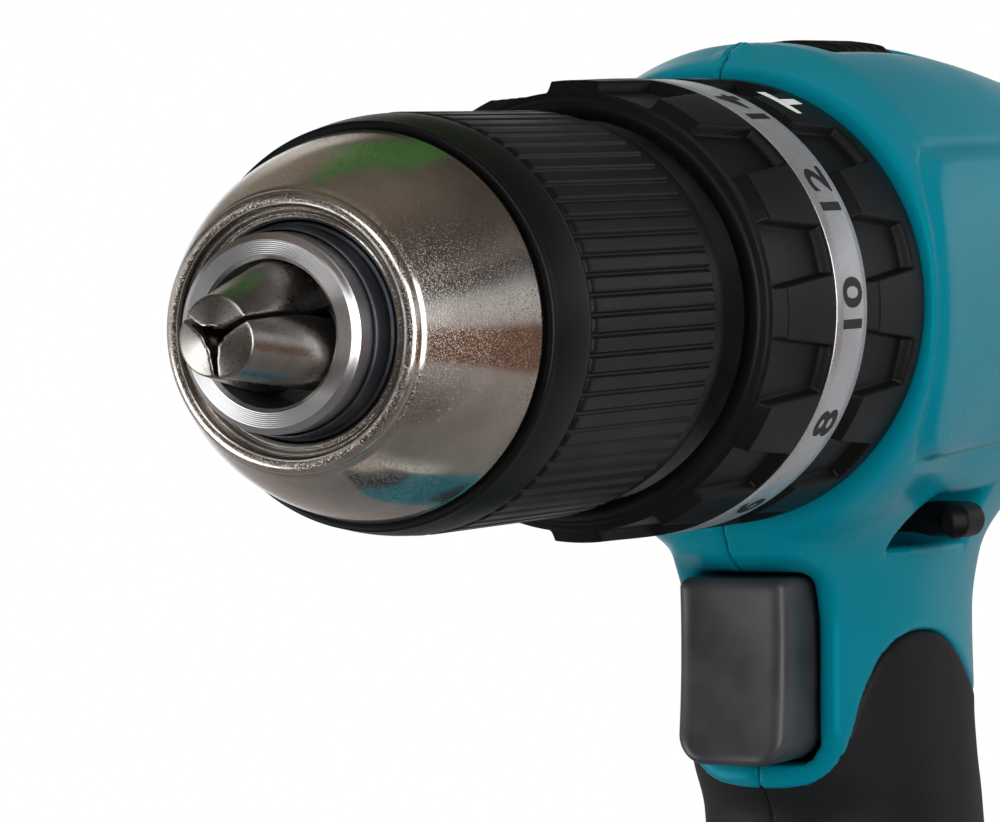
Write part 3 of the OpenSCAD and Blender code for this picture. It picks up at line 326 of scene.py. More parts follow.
def freshTree(owner):
    owner.use_nodes = True
    owner.node_tree.nodes.clear()
    return owner.node_tree


def startMaterial(name, values):
    material = bpy.data.materials.new(name)
    tree = freshTree(material)
    shader = addNode(tree, "BsdfPrincipled", values)
    addNode(tree, "OutputMaterial", {"Surface": shader.outputs["BSDF"]})
    return material, tree, shader, addNode(tree, "TexCoord").outputs["Object"]


def perMetre(size):
    # noise scale for a feature of this many millimetres
    return 1 / (size * mm)


def noise(tree, spot, size, detail=3.0, rough=0.5):
    values = {"Scale": perMetre(size), "Detail": detail, "Roughness": rough, "Vector": spot}
    return addNode(tree, "TexNoise", values).outputs["Fac"]


def spread(tree, factor, low, high, fromLow=0.3, fromHigh=0.7):
    values = {"From Min": fromLow, "From Max": fromHigh, "To Min": low, "To Max": high, "Value": factor}
    return addNode(tree, "MapRange", values).outputs["Result"]


def blendColours(tree, factor, dark, light):
    values = {"data_type": "RGBA", 0: spread(tree, factor, 0, 1), 6: toLinear(dark), 7: toLinear(light)}
    return addNode(tree, "Mix", values).outputs[2]


def bumped(tree, height, depth):
    values = {"Strength": 1.0, "Distance": depth * mm, "Height": height}
    return addNode(tree, "Bump", values).outputs["Normal"]


def moulded(name, dark, light, rough, grain, depth, patch=14.0, level=0.5, tint="#ffffff"):
    # injection-moulded plastic: the mould leaves a fine even grain, handling slow changes of sheen
    material, tree, shader, spot = startMaterial(name, {
        "IOR": 1.53, "Metallic": 0.0, "Specular IOR Level": level, "Specular Tint": toLinear(tint)})
    fine, slow = noise(tree, spot, grain, 2.0, 0.6), noise(tree, spot, patch)
    sheen = spread(tree, calc(tree, "MULTIPLY_ADD", fine, 0.35, slow), rough - 0.05, rough + 0.06, 0.5, 0.9)
    feed(tree, shader, {"Base Color": blendColours(tree, slow, dark, light), "Roughness": sheen,
                        "Normal": bumped(tree, fine, depth)})
    return material


def metal(name, dark, light, rough, grain, depth, stretch=(1, 1, 1), metallic=1.0):
    # bare or plated metal: grain may be drawn out along the way it was ground or turned
    material, tree, shader, spot = startMaterial(name, {"Metallic": metallic})
    mapped = addNode(tree, "Mapping", {"Scale": stretch, "Vector": spot}).outputs["Vector"]
    fine, slow = noise(tree, mapped, grain, 3.0, 0.65), noise(tree, spot, 6)
    feed(tree, shader, {"Base Color": blendColours(tree, slow, dark, light),
                        "Roughness": spread(tree, fine, rough - 0.06, rough + 0.08),
                        "Normal": bumped(tree, fine, depth)})
    return material


def platedNickel():
    # Satin nickel over blasted steel: soft warm mirror, broken by sparse pearls 0.15 mm across that sparkle
    material, tree, shader, spot = startMaterial("satinNickelPlate", {"Metallic": 1.0})
    pearl, slow = noise(tree, spot, 0.15, 2.0, 0.7), noise(tree, spot, 6)
    feed(tree, shader, {"Base Color": blendColours(tree, slow, "#c3bbb2", "#d6cfc7"),
                        "Roughness": spread(tree, slow, 0.09, 0.15),
                        "Normal": bumped(tree, spread(tree, pearl, 0, 1, 0.55, 0.8), 0.022)})
    return material


def turnedSteel():
    # Steel faced on a lathe: a fine spiral that fans the light into bright sectors, feed drawn at 0.2 mm
    values = {"Metallic": 1.0, "Roughness": 0.3, "Base Color": toLinear("#d0d0d2")}
    material, tree, shader, spot = startMaterial("turnedSteel", values)
    centred = addNode(tree, "Mapping", {"Location": (0, 0, -axisH * mm), "Vector": spot}).outputs["Vector"]
    parts = addNode(tree, "SeparateXYZ", {"Vector": centred}).outputs
    across = addNode(tree, "CombineXYZ", {"Y": parts["Y"], "Z": parts["Z"]}).outputs["Vector"]
    radius = addNode(tree, "VectorMath", {"operation": "LENGTH", 0: across}).outputs["Value"]
    cut = calc(tree, "MULTIPLY_ADD", parts["X"], 0.7, radius)
    wave = calc(tree, "SINE", calc(tree, "MULTIPLY", cut, 2 * math.pi * perMetre(0.2)))
    height = calc(tree, "MULTIPLY_ADD", noise(tree, spot, 0.3), 0.3, wave)
    feed(tree, shader, {"Normal": bumped(tree, height, 0.013)})
    return material


nickelPlate = platedNickel()
turned = turnedSteel()
# Ground and hardened tool steel: dark, satin, with short grinding marks along the jaw
groundSteel = metal("groundToolSteel", "#8b8782", "#b3afaa", 0.3, 0.22, 0.007, (0.35, 1, 1))
# Black oxide on steel: blue-black and slightly oily
oxideSteel = metal("blackOxideSteel", "#484b52", "#666a72", 0.42, 0.3, 0.005)
# Machined steel: cool grey with soft streaks
machinedSteel = metal("machinedSteel", "#8e8f92", "#b6b7ba", 0.3, 0.3, 0.004)
# Sintered gear steel: darker and duller, pressed powder leaves a speckle
gearSteel = metal("sinteredGearSteel", "#5a5b5e", "#7c7d80", 0.42, 0.35, 0.01)
# Turned brass: warm yellow with a soft sheen
brass = metal("turnedBrass", "#a8873f", "#c9a95c", 0.28, 0.3, 0.004)
# Enamelled copper wire: glossy brown-red strands
copper = metal("enamelledCopper", "#8a4424", "#b2653a", 0.3, 0.5, 0.08, (0.2, 1, 1))
# Die-cast magnesium alloy: pale grey with a dull cast skin
castAlloy = metal("dieCastAlloy", "#77787a", "#939496", 0.46, 0.5, 0.02)
# Ferrite magnet: matt charcoal ceramic
ferrite = moulded("sinteredFerrite", "#2c2c2d", "#3c3b3b", 0.62, 0.4, 0.02)
# Glass-filled nylon, moulded on an eroded tool: matt black with a fine leather-like grain
blackNylon = moulded("blackGlassNylon", "#0a0a0b", "#101011", 0.42, 0.28, 0.014, level=0.13)
# The same nylon in the sleeve, rubbed a little smoother by the hand
sleeveNylon = moulded("sleeveGlassNylon", "#0a0a0b", "#0f0f10", 0.4, 0.22, 0.010, level=0.18)
# ABS and nylon blend of the housing: deep teal with a soft satin sheen
tealShell = moulded("tealMouldedShell", "#007a8c", "#008396", 0.31, 0.5, 0.006, 30.0, tint="#2ea5b5")
# Thermoplastic rubber over the handle: soft, nearly matt, pebbled
gripRubber = moulded("mouldedGripRubber", "#0f0f11", "#17171a", 0.6, 0.55, 0.05, level=0.24)
# Acetal trigger: dark grey, smooth and slightly polished by the finger
triggerAcetal = moulded("triggerAcetal", "#2c2c2f", "#404044", 0.4, 0.4, 0.006, 7.0)
# Printed silver-grey ink on the number band: even and softly metallic
bandInk = metal("silverPrintedBand", "#b9babd", "#cbccd0", 0.3, 0.25, 0.003, metallic=0.7)
# Black printing ink of the numbers
inkBlack = moulded("blackPrintedInk", "#0c0c0d", "#131314", 0.5, 0.3, 0.002)
# White printing ink of the signs
inkWhite = moulded("whitePrintedInk", "#dcdcda", "#ececea", 0.5, 0.3, 0.002)
# Battery case: charcoal ABS with a coarse mould grain
batteryShell = moulded("charcoalMouldedCase", "#1a1b1d", "#232427", 0.48, 0.6, 0.03)
batteryTop = moulded("greyMouldedCase", "#2d2e31", "#38393d", 0.46, 0.6, 0.03)
# Fan nylon: milky white
fanNylon = moulded("naturalFanNylon", "#cfcfc9", "#dddcd6", 0.4, 0.8, 0.01)
# Shrink film round the cells: glossy blue-green
cellFilm = moulded("cellShrinkFilm", "#0e5f86", "#1673a0", 0.22, 3.0, 0.02)
print("materials made")


# Camera, light, floor

camera = {"place": (0.709794, 0.302551, 0.233156), "turn": (87.4101, 0.5133, 116.0338), "lens": 232.7,
          "sensor": 36.0}
lens = bpy.data.cameras.new("studioCamera")
lens.lens, lens.sensor_width = camera["lens"], camera["sensor"]
lens.clip_start, lens.clip_end = 0.02, 30
eye = bpy.data.objects.new("studioCamera", lens)
eye.location = camera["place"]
eye.rotation_euler = [math.radians(a) for a in camera["turn"]]
scene.collection.objects.link(eye)
scene.camera = eye
scene.view_settings.view_transform = "Standard"

light = {
    "room": 0.62,  # brightness that the world gives to matt surfaces
    "lamps": {  # place, size, watts; each looks at the chuck
        "leftSoftbox": ((0.35, 0.75, 0.45), 0.7, 1.6),
        "rightSoftbox": ((0.45, -0.75, 0.35), 0.7, 1.0),
        "topSoftbox": ((0.0, 0.1, 1.1), 0.8, 1.6),
    },
    "lookAt": (0.08, 0.0, 0.2),
}


def makeWorld():
    scene.world = bpy.data.worlds.new("paleRoom")
    tree = freshTree(scene.world)
    ray = addNode(tree, "LightPath").outputs
    seen = calc(tree, "MAXIMUM", ray["Is Camera Ray"], ray["Is Glossy Ray"])
    seen = calc(tree, "MAXIMUM", seen, ray["Is Transmission Ray"])
    matt, white = (addNode(tree, "Background", {"Color": (1, 1, 1, 1), "Strength": strength}).outputs[0]
                   for strength in (light["room"], 1.0))
    mix = addNode(tree, "MixShader", {0: seen, 1: matt, 2: white})
    addNode(tree, "OutputWorld", {"Surface": mix.outputs[0]})


def makeLamps():
    for name, (spot, size, watts) in light["lamps"].items():
        data = bpy.data.lights.new(name, "AREA")
        data.shape, data.size, data.energy = "SQUARE", size, watts
        lamp = bpy.data.objects.new(name, data)
        lamp.location = spot
        lamp.rotation_euler = (Vector(light["lookAt"]) - Vector(spot)).to_track_quat("-Z", "Y").to_euler()
        lamp.visible_glossy = False  # the tent gives the reflections
        scene.collection.objects.link(lamp)


# Cloth tent round the set, seen only by reflections: brightness by height, then soft panels as
# azimuth, elevation, half width and half height in degrees, soft edge, colour and, for lamps, a gain
tent = {
    "radius": 2.4,
    "heights": [
        (-90, "#757473"), (-60, "#787675"), (-40, "#85817f"), (-30, "#918c8a"), (-22, "#a19c9c"),
        (-4, "#b2aeae"), (3.5, "#c8c3c2"), (8, "#d2d2d4"), (12, "#cacccf"), (15.5, "#a9aeb3"),
        (19, "#5c5c5c"), (24, "#47423f"), (28, "#6e6761"), (36, "#554e48"), (45, "#504a45"),
        (60, "#655c55"), (75, "#7d736b"), (90, "#7d736b")],
    "panels": {
        "cameraSide": (20, 0, 60, 60, 25, "#4a443f"),
        "greenPanel": (-159, 49, 12, 12, 2, "#3f7338"),
        "brownPanel": (114, -9, 30, 9, 2, "#75503c"),
        "darkEdge": (141, -4, 8, 7, 2, "#33261f"),
        "lowGlow": (174, -64, 10, 8, 6, "#e8e4de"),
        "warmSide": (-134, 20, 8, 30, 5, "#7f7468"),
        "upperGlow": (-144, 24, 6, 7, 4, "#dcd6ce"),
        "backdrop": (-151, 1, 9, 14, 4, "#ffffff"),
        "frontSheet": (-54, -22, 17, 15, 4, "#ffffff", 4.0),
        "rightSheet": (60, 4, 18, 22, 5, "#ffffff", 4.0),
        "upperSheet": (14, 35, 18, 13, 5, "#ffffff", 2.6),
    },
}


def towards(azimuth, elevation):
    a, e = math.radians(azimuth), math.radians(elevation)
    return Vector((math.cos(a) * math.cos(e), math.sin(a) * math.cos(e), math.sin(e)))


def paintPanel(tree, way, paint, azimuth, elevation, halfWidth, halfHeight, soft, colour, gain=1.0):
    frontAxis = towards(azimuth, elevation)
    sideAxis = Vector((0, 0, 1)).cross(frontAxis).normalized()
    ahead = addNode(tree, "VectorMath", {"operation": "DOT_PRODUCT", 0: way, 1: frontAxis}).outputs["Value"]
    factor = calc(tree, "GREATER_THAN", ahead, 0.0)
    for axis, half in ((sideAxis, halfWidth), (frontAxis.cross(sideAxis), halfHeight)):
        off = addNode(tree, "VectorMath", {"operation": "DOT_PRODUCT", 0: way, 1: axis}).outputs["Value"]
        inside = addNode(tree, "MapRange", {
            "interpolation_type": "SMOOTHSTEP", "From Min": math.sin(math.radians(min(half + soft, 89))),
            "From Max": math.sin(math.radians(max(half - soft, 0))), "Value": calc(tree, "ABSOLUTE", off)})
        factor = calc(tree, "MULTIPLY", factor, inside.outputs["Result"])
    shade = [v * gain for v in toLinear(colour)[:3]] + [1]
    return addNode(tree, "Mix", {"data_type": "RGBA", 0: factor, 6: paint, 7: shade}).outputs[2]


def makeTent():
    work = bmesh.new()
    bmesh.ops.create_icosphere(work, subdivisions=4, radius=tent["radius"])
    bmesh.ops.reverse_faces(work, faces=work.faces[:])
    mesh = bpy.data.meshes.new("clothTent")
    work.to_mesh(mesh)
    work.free()
    material = bpy.data.materials.new("clothTent")
    tree = freshTree(material)
    spot = addNode(tree, "TexCoord").outputs["Object"]
    way = addNode(tree, "VectorMath", {"operation": "NORMALIZE", 0: spot}).outputs["Vector"]
    rise = calc(tree, "ARCSINE", addNode(tree, "SeparateXYZ", {"Vector": way}).outputs["Z"])
    share = spread(tree, rise, 0, 1, -math.pi / 2, math.pi / 2)
    ramp = addNode(tree, "ValToRGB", {"Fac": share})
    stops = ramp.color_ramp.elements
    stops.remove(stops[0])
    for i, (elevation, colour) in enumerate(tent["heights"]):
        stop = stops[0] if i == 0 else stops.new((elevation + 90) / 180)
        stop.position, stop.color = (elevation + 90) / 180, toLinear(colour)
    paint = ramp.outputs["Color"]
    for panel in tent["panels"].values():
        paint = paintPanel(tree, way, paint, *panel)
    glow = addNode(tree, "Emission", {"Strength": 1.0, "Color": paint})
    addNode(tree, "OutputMaterial", {"Surface": glow.outputs[0]})
    mesh.materials.append(material)
    dome = bpy.data.objects.new("clothTent", mesh)
    dome.location = light["lookAt"]
    dome.visible_camera = dome.visible_diffuse = dome.visible_shadow = dome.visible_transmission = False
    scene.collection.objects.link(dome)


def makeFloor():
    mesh = bpy.data.meshes.new("paleFloor")
    half = 1.2  # metres
    corners = [(-half, -half, 0), (half, -half, 0), (half, half, 0), (-half, half, 0)]
    mesh.from_pydata(corners, [], [(0, 1, 2, 3)])
    material = bpy.data.materials.new("paleFloor")
    tree = freshTree(material)
    paper = addNode(tree, "BsdfDiffuse", {"Color": (0.9, 0.9, 0.9, 1)}).outputs[0]
    white = addNode(tree, "Emission", {"Color": (1, 1, 1, 1), "Strength": 1.0}).outputs[0]
    spot = addNode(tree, "TexCoord").outputs["Object"]
    away = addNode(tree, "VectorMath", {"operation": "LENGTH", 0: spot}).outputs["Value"]
    fade = addNode(tree, "MapRange", {"interpolation_type": "SMOOTHSTEP", "From Min": 0.25, "From Max": 0.7,
                                      "Value": away})
    mix = addNode(tree, "MixShader", {0: fade.outputs["Result"], 1: paper, 2: white})
    addNode(tree, "OutputMaterial", {"Surface": mix.outputs[0]})
    mesh.materials.append(material)
    floor = bpy.data.objects.new("paleFloor", mesh)
    floor.location = (0, 0, -0.0005)
    floor.visible_glossy = False
    scene.collection.objects.link(floor)


makeWorld()
makeLamps()
makeTent()
makeFloor()
print("camera, light and floor made")


# Chuck

nose = {
    "rimTube": 1.0, "rimRadius": 14.3, "bulge": 0.9, "grooveDepth": 1.4,
    # turned steps inside the mouth and the blued washer behind them, whose sleeve runs on 1.2 mm past the rim
    # over the snout as painted shade: depth behind the rim, radius
    "steps": [(1.15, 12.62), (1.0, 12.48), (1.0, 12.28), (1.15, 12.14), (1.55, 12.08), (1.65, 11.9),
              (1.45, 11.7), (1.45, 11.5), (1.65, 11.3), (1.9, 11.2), (4.6, 11.15), (5.0, 13.0)],
    "washerAndShadeSleeve": [(4.8, 11.05), (4.8, 10.3), (-1.2, 10.3), (-1.2, 10.45), (-1.0, 10.6), (1.5, 10.64),
               (1.7, 10.72), (1.75, 10.95), (2.0, 11.05)],
}


def makeNose():
    rear, rim = noseLow[0], noseHigh[0]
    r0, r1 = noseHigh[1], nose["rimRadius"]
    length = rim - rear - nose["rimTube"]
    profile = [(rear, 19.2), (rear, r0 - 0.25), (rear + 0.25, r0)]
    for s in np.linspace(0.03, 0.985, 24):
        profile.append((rear + s * length, r0 + (r1 - r0) * s + nose["bulge"] * math.sin(math.pi * s)))
    profile += arc(rim - 1.0, r1 - 1.0, 1.0, 100, -35, 14)
    deep = rim - 1.0 - nose["grooveDepth"]
    profile += [(deep + 0.5, 13.15), (deep, 13.05), (deep, 12.88), (deep + 0.5, 12.74)]
    profile += [(rim - back, r) for back, r in nose["steps"]]
    profile += [(rear + 7.6, 17.6), (rear + 6.6, 18.0), (rear + 6.4, 18.0)]
    place("nosePlate", ringMesh(profile, 320), "chuck_sleeve", nickelPlate, ["nose_sleeve"])
    # the washer's sleeve over the snout is painted shade: a dark oxide ring laid where the snout's base only
    # reflects the dark mouth
    washerAndShadeSleeve = [(rim - back, r) for back, r in nose["washerAndShadeSleeve"]]
    place("bluedWasherAndShadeSleeve", ringMesh(washerAndShadeSleeve, 192), "chuck_sleeve", oxideSteel)


def makeSmoothRing():
    x0, x1, r = smoothLow[0], smoothHigh[0], sleeveHigh[1]
    profile = [(x0, 20.2), (x0, r - 0.35), (x0 + 0.15, r - 0.12)]
    profile += [(x0 + s * (x1 - x0), r - 0.1 - 0.2 * s - 0.75 * s**2.2) for s in np.linspace(0.06, 0.9, 14)]
    profile += arc(x1 - 0.4, r - 1.3, 0.45, 70, -10, 6)
    profile += [(x1, 19.4), (x1 - 1, 19.3), (x0 + 3, 19.3), (x0 + 2.9, 20.2)]
    place("smoothRing", ringMesh(profile), "chuck_sleeve", sleeveNylon, ["smooth_ring"])


ribs = {"count": 66, "height": 0.45, "rearMargin": 3.4, "frontMargin": 0.5, "endLength": 0.9, "perRib": 16}


def makeSleeve():
    x0, x1, r = sleeveLow[0], sleeveHigh[0], sleeveHigh[1]
    ground, end = r - ribs["height"], ribs["endLength"]
    steps = ribs["count"] * ribs["perRib"]
    phase = (np.arange(steps) / ribs["perRib"]) % 1.0
    crest = np.abs(phase - 0.5) * 2  # 1 at the groove, 0 at the crest
    shape = smoothStep((0.94 - crest) / 0.36)
    a, b = x0 + ribs["rearMargin"], x1 - ribs["frontMargin"]
    rows = [(x0 + 0.02, 20.4), (x0 + 0.02, ground - 0.7), (x0 + 0.25, ground - 0.25)]
    for x in np.r_[x0 + 0.7, x0 + 2, a - 0.2, np.linspace(a, a + end, 8), np.linspace(a + 2, b - 1.6, 8),
                   np.linspace(b - end, b, 8), b + 0.2, x1 - 0.08]:
        # the rib's end is a quarter round seen from above and from the side
        ends = np.clip(np.minimum(x - a, b - x) / end, 0, 1)
        lift = math.sqrt(max(0.0, 1 - (1 - ends) ** 2))
        rows.append((x, ground + ribs["height"] * lift * shape))
    rows += [(x1, ground - 0.2), (x1, 20.4)]
    mesh = ringMesh(rows, steps)
    place("ribbedSleeve", mesh, "chuck_sleeve", sleeveNylon, ["grip_sleeve"])


jaw = {"radius": 3.7, "lean": 15, "gap": 0.235, "heart": 1.1, "tipTilt": 0.28}


def jawField(k, x, y, z):
    # leaning cylinder, cut by the planes between the jaws, chipped at the heart and ground at the tip
    lean, turn = math.radians(jaw["lean"]), math.radians(120 * k)
    u = -y * math.sin(turn) + (z - axisH) * math.cos(turn)  # outwards through this jaw
    v = y * math.cos(turn) + (z - axisH) * math.sin(turn)
    tip = jawHigh[0]
    off = u - 0.15 - (tip - x) * math.tan(lean)
    f = reach(off * math.cos(lean), v) - jaw["radius"]
    radius = reach(u, v)
    near = np.exp(-((radius / 1.7) ** 2))
    chips = 0.16 * np.sin(x * 1.9 + 2 * k + 3 * radius) + 0.07 * np.sin(x * 5.3 + v * 4)
    for side in (-1, 1):
        plane = jaw["gap"] + (0.45 + chips) * near - (u * 0.866 + side * v * 0.5)
        f = softMax(f, plane, 0.15)
    f = softMax(f, jaw["heart"] + 1.2 * chips - radius, 0.2)
    f = softMax(f, x - tip + 0.03 + jaw["tipTilt"] * np.maximum(radius - 1.2, 0), 0.16)
    f = softMax(f, (radius - 4.0) * 0.8 + (x - tip) * 0.6, 0.3)
    return np.maximum(f, jawLow[0] + 0.02 - x)


def makeJaws():
    for k, body in enumerate(("jaw_top", "jaw_right", "jaw_left")):
        node = f"jaw_{k + 1}"
        carve(f"groundJaw{k + 1}", partial(jawField, k), node, body, groundSteel, 0.2)


makeNose()
makeSmoothRing()
makeSleeve()
makeJaws()
print("chuck made")


# Torque ring, band, mode ring

ring = {"pads": 12, "floor": 1.25, "steps": 960, "wide": 7.5, "narrow": 5.4, "wall": 0.45, "bevel": 1.3}


def padRadii(x, top, x0, x1):
    # radii round a ring at x: pads with bevelled fronts, and pockets that widen from x0 to x1
    low = top - ring["floor"]
    pad = max(top - 1.15 * max(0, x - x1 + ring["bevel"]) / ring["bevel"], low)
    angle = np.linspace(0, 360, ring["steps"], endpoint=False)
    pitch = 360 / ring["pads"]
    off = np.abs((angle % pitch) - pitch / 2) * math.pi / 180 * 25.5  # mm from the pocket's middle
    t = np.clip((x - x0) / (x1 - x0), 0, 1)
    half = (ring["narrow"] + (ring["wide"] - ring["narrow"]) * t) / 2
    side = smoothStep((half + ring["wall"] / 2 - off) / ring["wall"])
    return pad + (low - pad) * (side * smoothStep((x - x0 + 0.9) / 0.9))


def makeTorqueRing():
    x0, x1, r = torqueLow[0], torqueHigh[0], torqueHigh[1]
    edge, front, lip = bandHigh[0], x1 - 1.6, r - 2.1
    rows = [(x0, 21.4), (x0, r - 0.95), (edge, r - 0.95), (edge, r - 0.3), (edge + 0.12, r - 0.08)]
    for x in np.r_[np.linspace(edge + 0.5, edge + 2.2, 9), np.linspace(edge + 2.6, front - 1.6, 20),
                   np.linspace(front - 1.45, front + 0.1, 14)]:
        top = r - 0.2 * smoothStep((x - edge) / (front - edge))
        rows.append((x, padRadii(x, top, edge + 1.6, front)))
    rows += [(front + 0.14, lip + 0.6), (front + 0.2, lip + 0.25), (front + 0.5, lip), (x1 - 0.5, lip - 0.25),
             (x1 - 0.2, lip - 0.4), (x1 - 0.03, lip - 0.75), (x1, lip - 1.3), (x1 - 0.3, lip - 2.2),
             (x1 - 3.4, 21.0), (x1 - 3.6, 21.4)]
    place("torqueRing", ringMesh(rows, ring["steps"]), "torque", blackNylon, ["torque_ring"])


def makeBand():
    x0, x1, r = bandLow[0] + 0.05, bandHigh[0] - 0.05, bandHigh[1]
    profile = [(x0, r - 0.9), (x0, r - 0.2), (x0 + 0.2, r - 0.04), (x0 + 2, r), (x1 - 2, r),
               (x1 - 0.2, r - 0.04), (x1, r - 0.2), (x1, r - 0.9)]
    place("numberBand", ringMesh(profile), "torque", bandInk, ["number_band"])


def makeModeRing():
    x0, x1, r = modeLow[0], modeHigh[0], modeHigh[1]
    rear, front, floor = x0 + 4.0, x1 - 1.9, r - ring["floor"] - 0.1
    rows = [(x0, 21.4), (x0, r - 0.5), (x0 + 0.25, r - 0.15)]
    for x in np.r_[x0 + 0.8, np.linspace(rear - 1.0, rear + 0.8, 9), np.linspace(rear + 1.2, front - 1.6, 16),
                   np.linspace(front - 1.45, front + 0.1, 14)]:
        rows.append((x, padRadii(x, r, rear, front)))
    rows += [(front + 0.15, floor + 0.2), (front + 0.3, floor), (x1 - 0.3, floor - 0.05), (x1, floor - 0.35),
             (x1, 21.4)]
    place("modeRing", ringMesh(rows, ring["steps"]), "mode", blackNylon, ["mode_ring"])


def wrapOn(name, polygons, middleAngle, middleX, radius, lift, body, finish):
    # flat polygons (u round the ring, v towards the chuck) laid on the ring
    work = bmesh.new()
    for outline in polygons:
        work.faces.new([work.verts.new((u, v, 0)) for u, v in outline])
    bmesh.ops.triangulate(work, faces=work.faces[:])
    half = max(abs(v.co.x) for v in work.verts) + 0.3
    for cut in np.arange(-half, half, 0.35):
        whole = work.verts[:] + work.edges[:] + work.faces[:]
        bmesh.ops.bisect_plane(work, geom=whole, plane_co=(cut, 0, 0), plane_no=(1, 0, 0))
    for vert in work.verts:
        angle = math.radians(middleAngle) + vert.co.x / radius
        r = radius + lift
        vert.co = Vector((middleX + vert.co.y, -r * math.sin(angle), axisH + r * math.cos(angle))) * mm
    bmesh.ops.recalc_face_normals(work, faces=work.faces[:])
    for face in work.faces:
        face.smooth = True
        middle = face.calc_center_median()
        if face.normal.dot(Vector((0, middle.y, middle.z - axisH * mm))) < 0:
            face.normal_flip()
    mesh = bpy.data.meshes.new(name)
    work.to_mesh(mesh)
    work.free()
    place(name, mesh, body, finish)


def digitPolygons(text, size):
    # outline of numerals, flat, centred
    curve = bpy.data.curves.new("numerals", "FONT")
    curve.body, curve.size, curve.align_x, curve.align_y = text, size, "CENTER", "CENTER"
    curve.offset, curve.resolution_u = 0.026 * size, 6
    carrier = bpy.data.objects.new("numerals", curve)
    scene.collection.objects.link(carrier)
    bpy.context.view_layer.update()
    mesh = bpy.data.meshes.new_from_object(carrier.evaluated_get(bpy.context.evaluated_depsgraph_get()))
    spots = [v.co.copy() for v in mesh.vertices]
    middle = (max(s.y for s in spots) + min(s.y for s in spots)) / 2
    polygons = [[(spots[i].x, spots[i].y - middle) for i in p.vertices] for p in mesh.polygons]
    bpy.data.objects.remove(carrier)
    bpy.data.curves.remove(curve)
    bpy.data.meshes.remove(mesh)
    return polygons


numbers = {"size": 7.0, "lift": 0.03, "every": 30, "values": (16, 14, 12, 10, 8, 6, 4, 2)}


def makeNumbers():
    middle = (bandLow[0] + bandHigh[0]) / 2
    for i, value in enumerate(numbers["values"]):
        shapes = digitPolygons(str(value), numbers["size"])
        turn = -numbers["every"] * i
        wrapOn(f"number{value}", shapes, turn, middle, bandHigh[1], numbers["lift"], "torque", inkBlack)


signs = {
    "hammer": [[(-2.6, 0.9), (2.0, 0.9), (2.8, 0.3), (2.8, 2.6), (-1.6, 2.6), (-2.6, 2.0)],
               [(-0.7, 0.9), (-0.55, -3.4), (0.75, -3.4), (0.7, 0.9)]],
    "drill": [[(-0.8, -3.2), (0.8, -3.2), (0.8, -1.4), (1.5, -0.9), (-0.8, -1.6)],
              [(-1.5, -0.8), (1.5, 0.2), (1.5, 0.9), (-1.5, -0.1)],
              [(-1.5, 0.8), (1.5, 1.8), (0.2, 3.0), (-1.5, 1.6)]],
    "screw": [[(-2.0, -3.2), (2.0, -3.2), (1.2, -2.0), (-1.2, -2.0)],
              [(-1.2, -1.6), (1.2, -0.9), (1.2, -0.2), (-1.2, -0.9)],
              [(-1.1, -0.4), (1.1, 0.3), (1.0, 1.0), (-1.1, 0.3)], [(-0.8, 0.9), (0.8, 1.5), (0.0, 3.2)]],
}
signAngles = {"hammer": -27, "drill": 0, "screw": 27}


def makeSigns():
    for name, angle in signAngles.items():
        wrapOn(name + "Sign", signs[name], angle, modeLow[0] + 7.2, modeHigh[1], 0.03, "mode", inkWhite)


makeTorqueRing()
makeBand()
makeModeRing()
makeNumbers()
makeSigns()
print("rings made")


# Housing

coarse = 1.0
shell = {
    "grid": 0.9 * coarse, "joinRadius": 5.5, "seam": 0.03, "gripDepth": 1.6,
    # parts of x, y and z where the grid is finer: from, to, step
    "detail": ([(-8, 34, 0.5 * coarse)], [(-0.7, 0.7, 0.2)], [(150, 178, 0.5 * coarse)]),
    "gripDetail": ([(-16, 26, 0.45 * coarse)], [(-19, 19, 0.6 * coarse), (-0.7, 0.7, 0.2)],
                   [(150, 176, 0.45 * coarse)]),
}
rearX, coverX = coverLow[0], coverHigh[0]
crownTop = 29.9
barrelRows = np.array([  # x, half width, height up, depth down
    (rearX, 16.9, 15, 16), (rearX + 1.5, 20.9, 18.6, 19.6), (rearX + 5, 23.2, 21, 22),
    (rearX + 12, 24.4, 22.4, 23.6), (coverX, 25.0, 24.2, 24.6), (coverX + 12, 25.4, 25.0, 25.2),
    (coverX + 26, 25.8, 25.9, 26), (coverX + 44, 26, 28.3, 27),
    (collarX - 38, 26.2, crownTop - 0.5, 27.6), (collarX - 24, 26.4, crownTop, 28.5),
    (collarX - 9, 26.6, crownTop - 0.3, 30), (collarX - 4, 26.7, crownTop - 1.6, 29),
    (collarX - 1, 26.5, 27.2, 27.4), (collarX, 26.1, 26.3, 26.4)])
barrelW, barrelUp, barrelDown = (smoothTable(barrelRows[:, 0], barrelRows[:, i]) for i in (1, 2, 3))
handleRows = np.array([  # depth below the axis, front x, rear x, half width, squareness
    (16, 29, -41, 20.4, 2.8), (25, 28.5, -29.5, 16.8, 2.4), (31.6, 27.5, -24.6, 15, 2.25),
    (38, 25.8, -22.6, 14.5, 2.25), (50, 25.4, -22.4, 14.4, 2.4), (55, 23.2, -22.8, 14.4, 2.4),
    (61, 19.4, -23.6, 14.5, 2.4), (87.8, 16.3, -28, 15, 2.4), (107.8, 11.8, -33, 16, 2.4),
    (119.6, 9.8, -38, 17.2, 2.5), (129.6, 12.8, -42, 20, 2.8), (139.6, 19.8, -49, 25, 3)])
handleFront, handleRear, handleW, handleN = (smoothTable(handleRows[:, 0], handleRows[:, i])
                                             for i in (1, 2, 3, 4))
handleEnds = (16, 139.6)
footLow, footTop = 52.4, 78.4
footRows = np.array([  # height, half length, half width, middle
    (footLow, 54, 36.4, 0), (63.4, 54, 36.4, 0), (67.9, 52, 34, -1), (72.4, 43, 28.4, -6),
    (footTop, 32, 21.4, -13)])
footL, footW, footMid = (smoothTable(footRows[:, 0], footRows[:, i]) for i in (1, 2, 3))
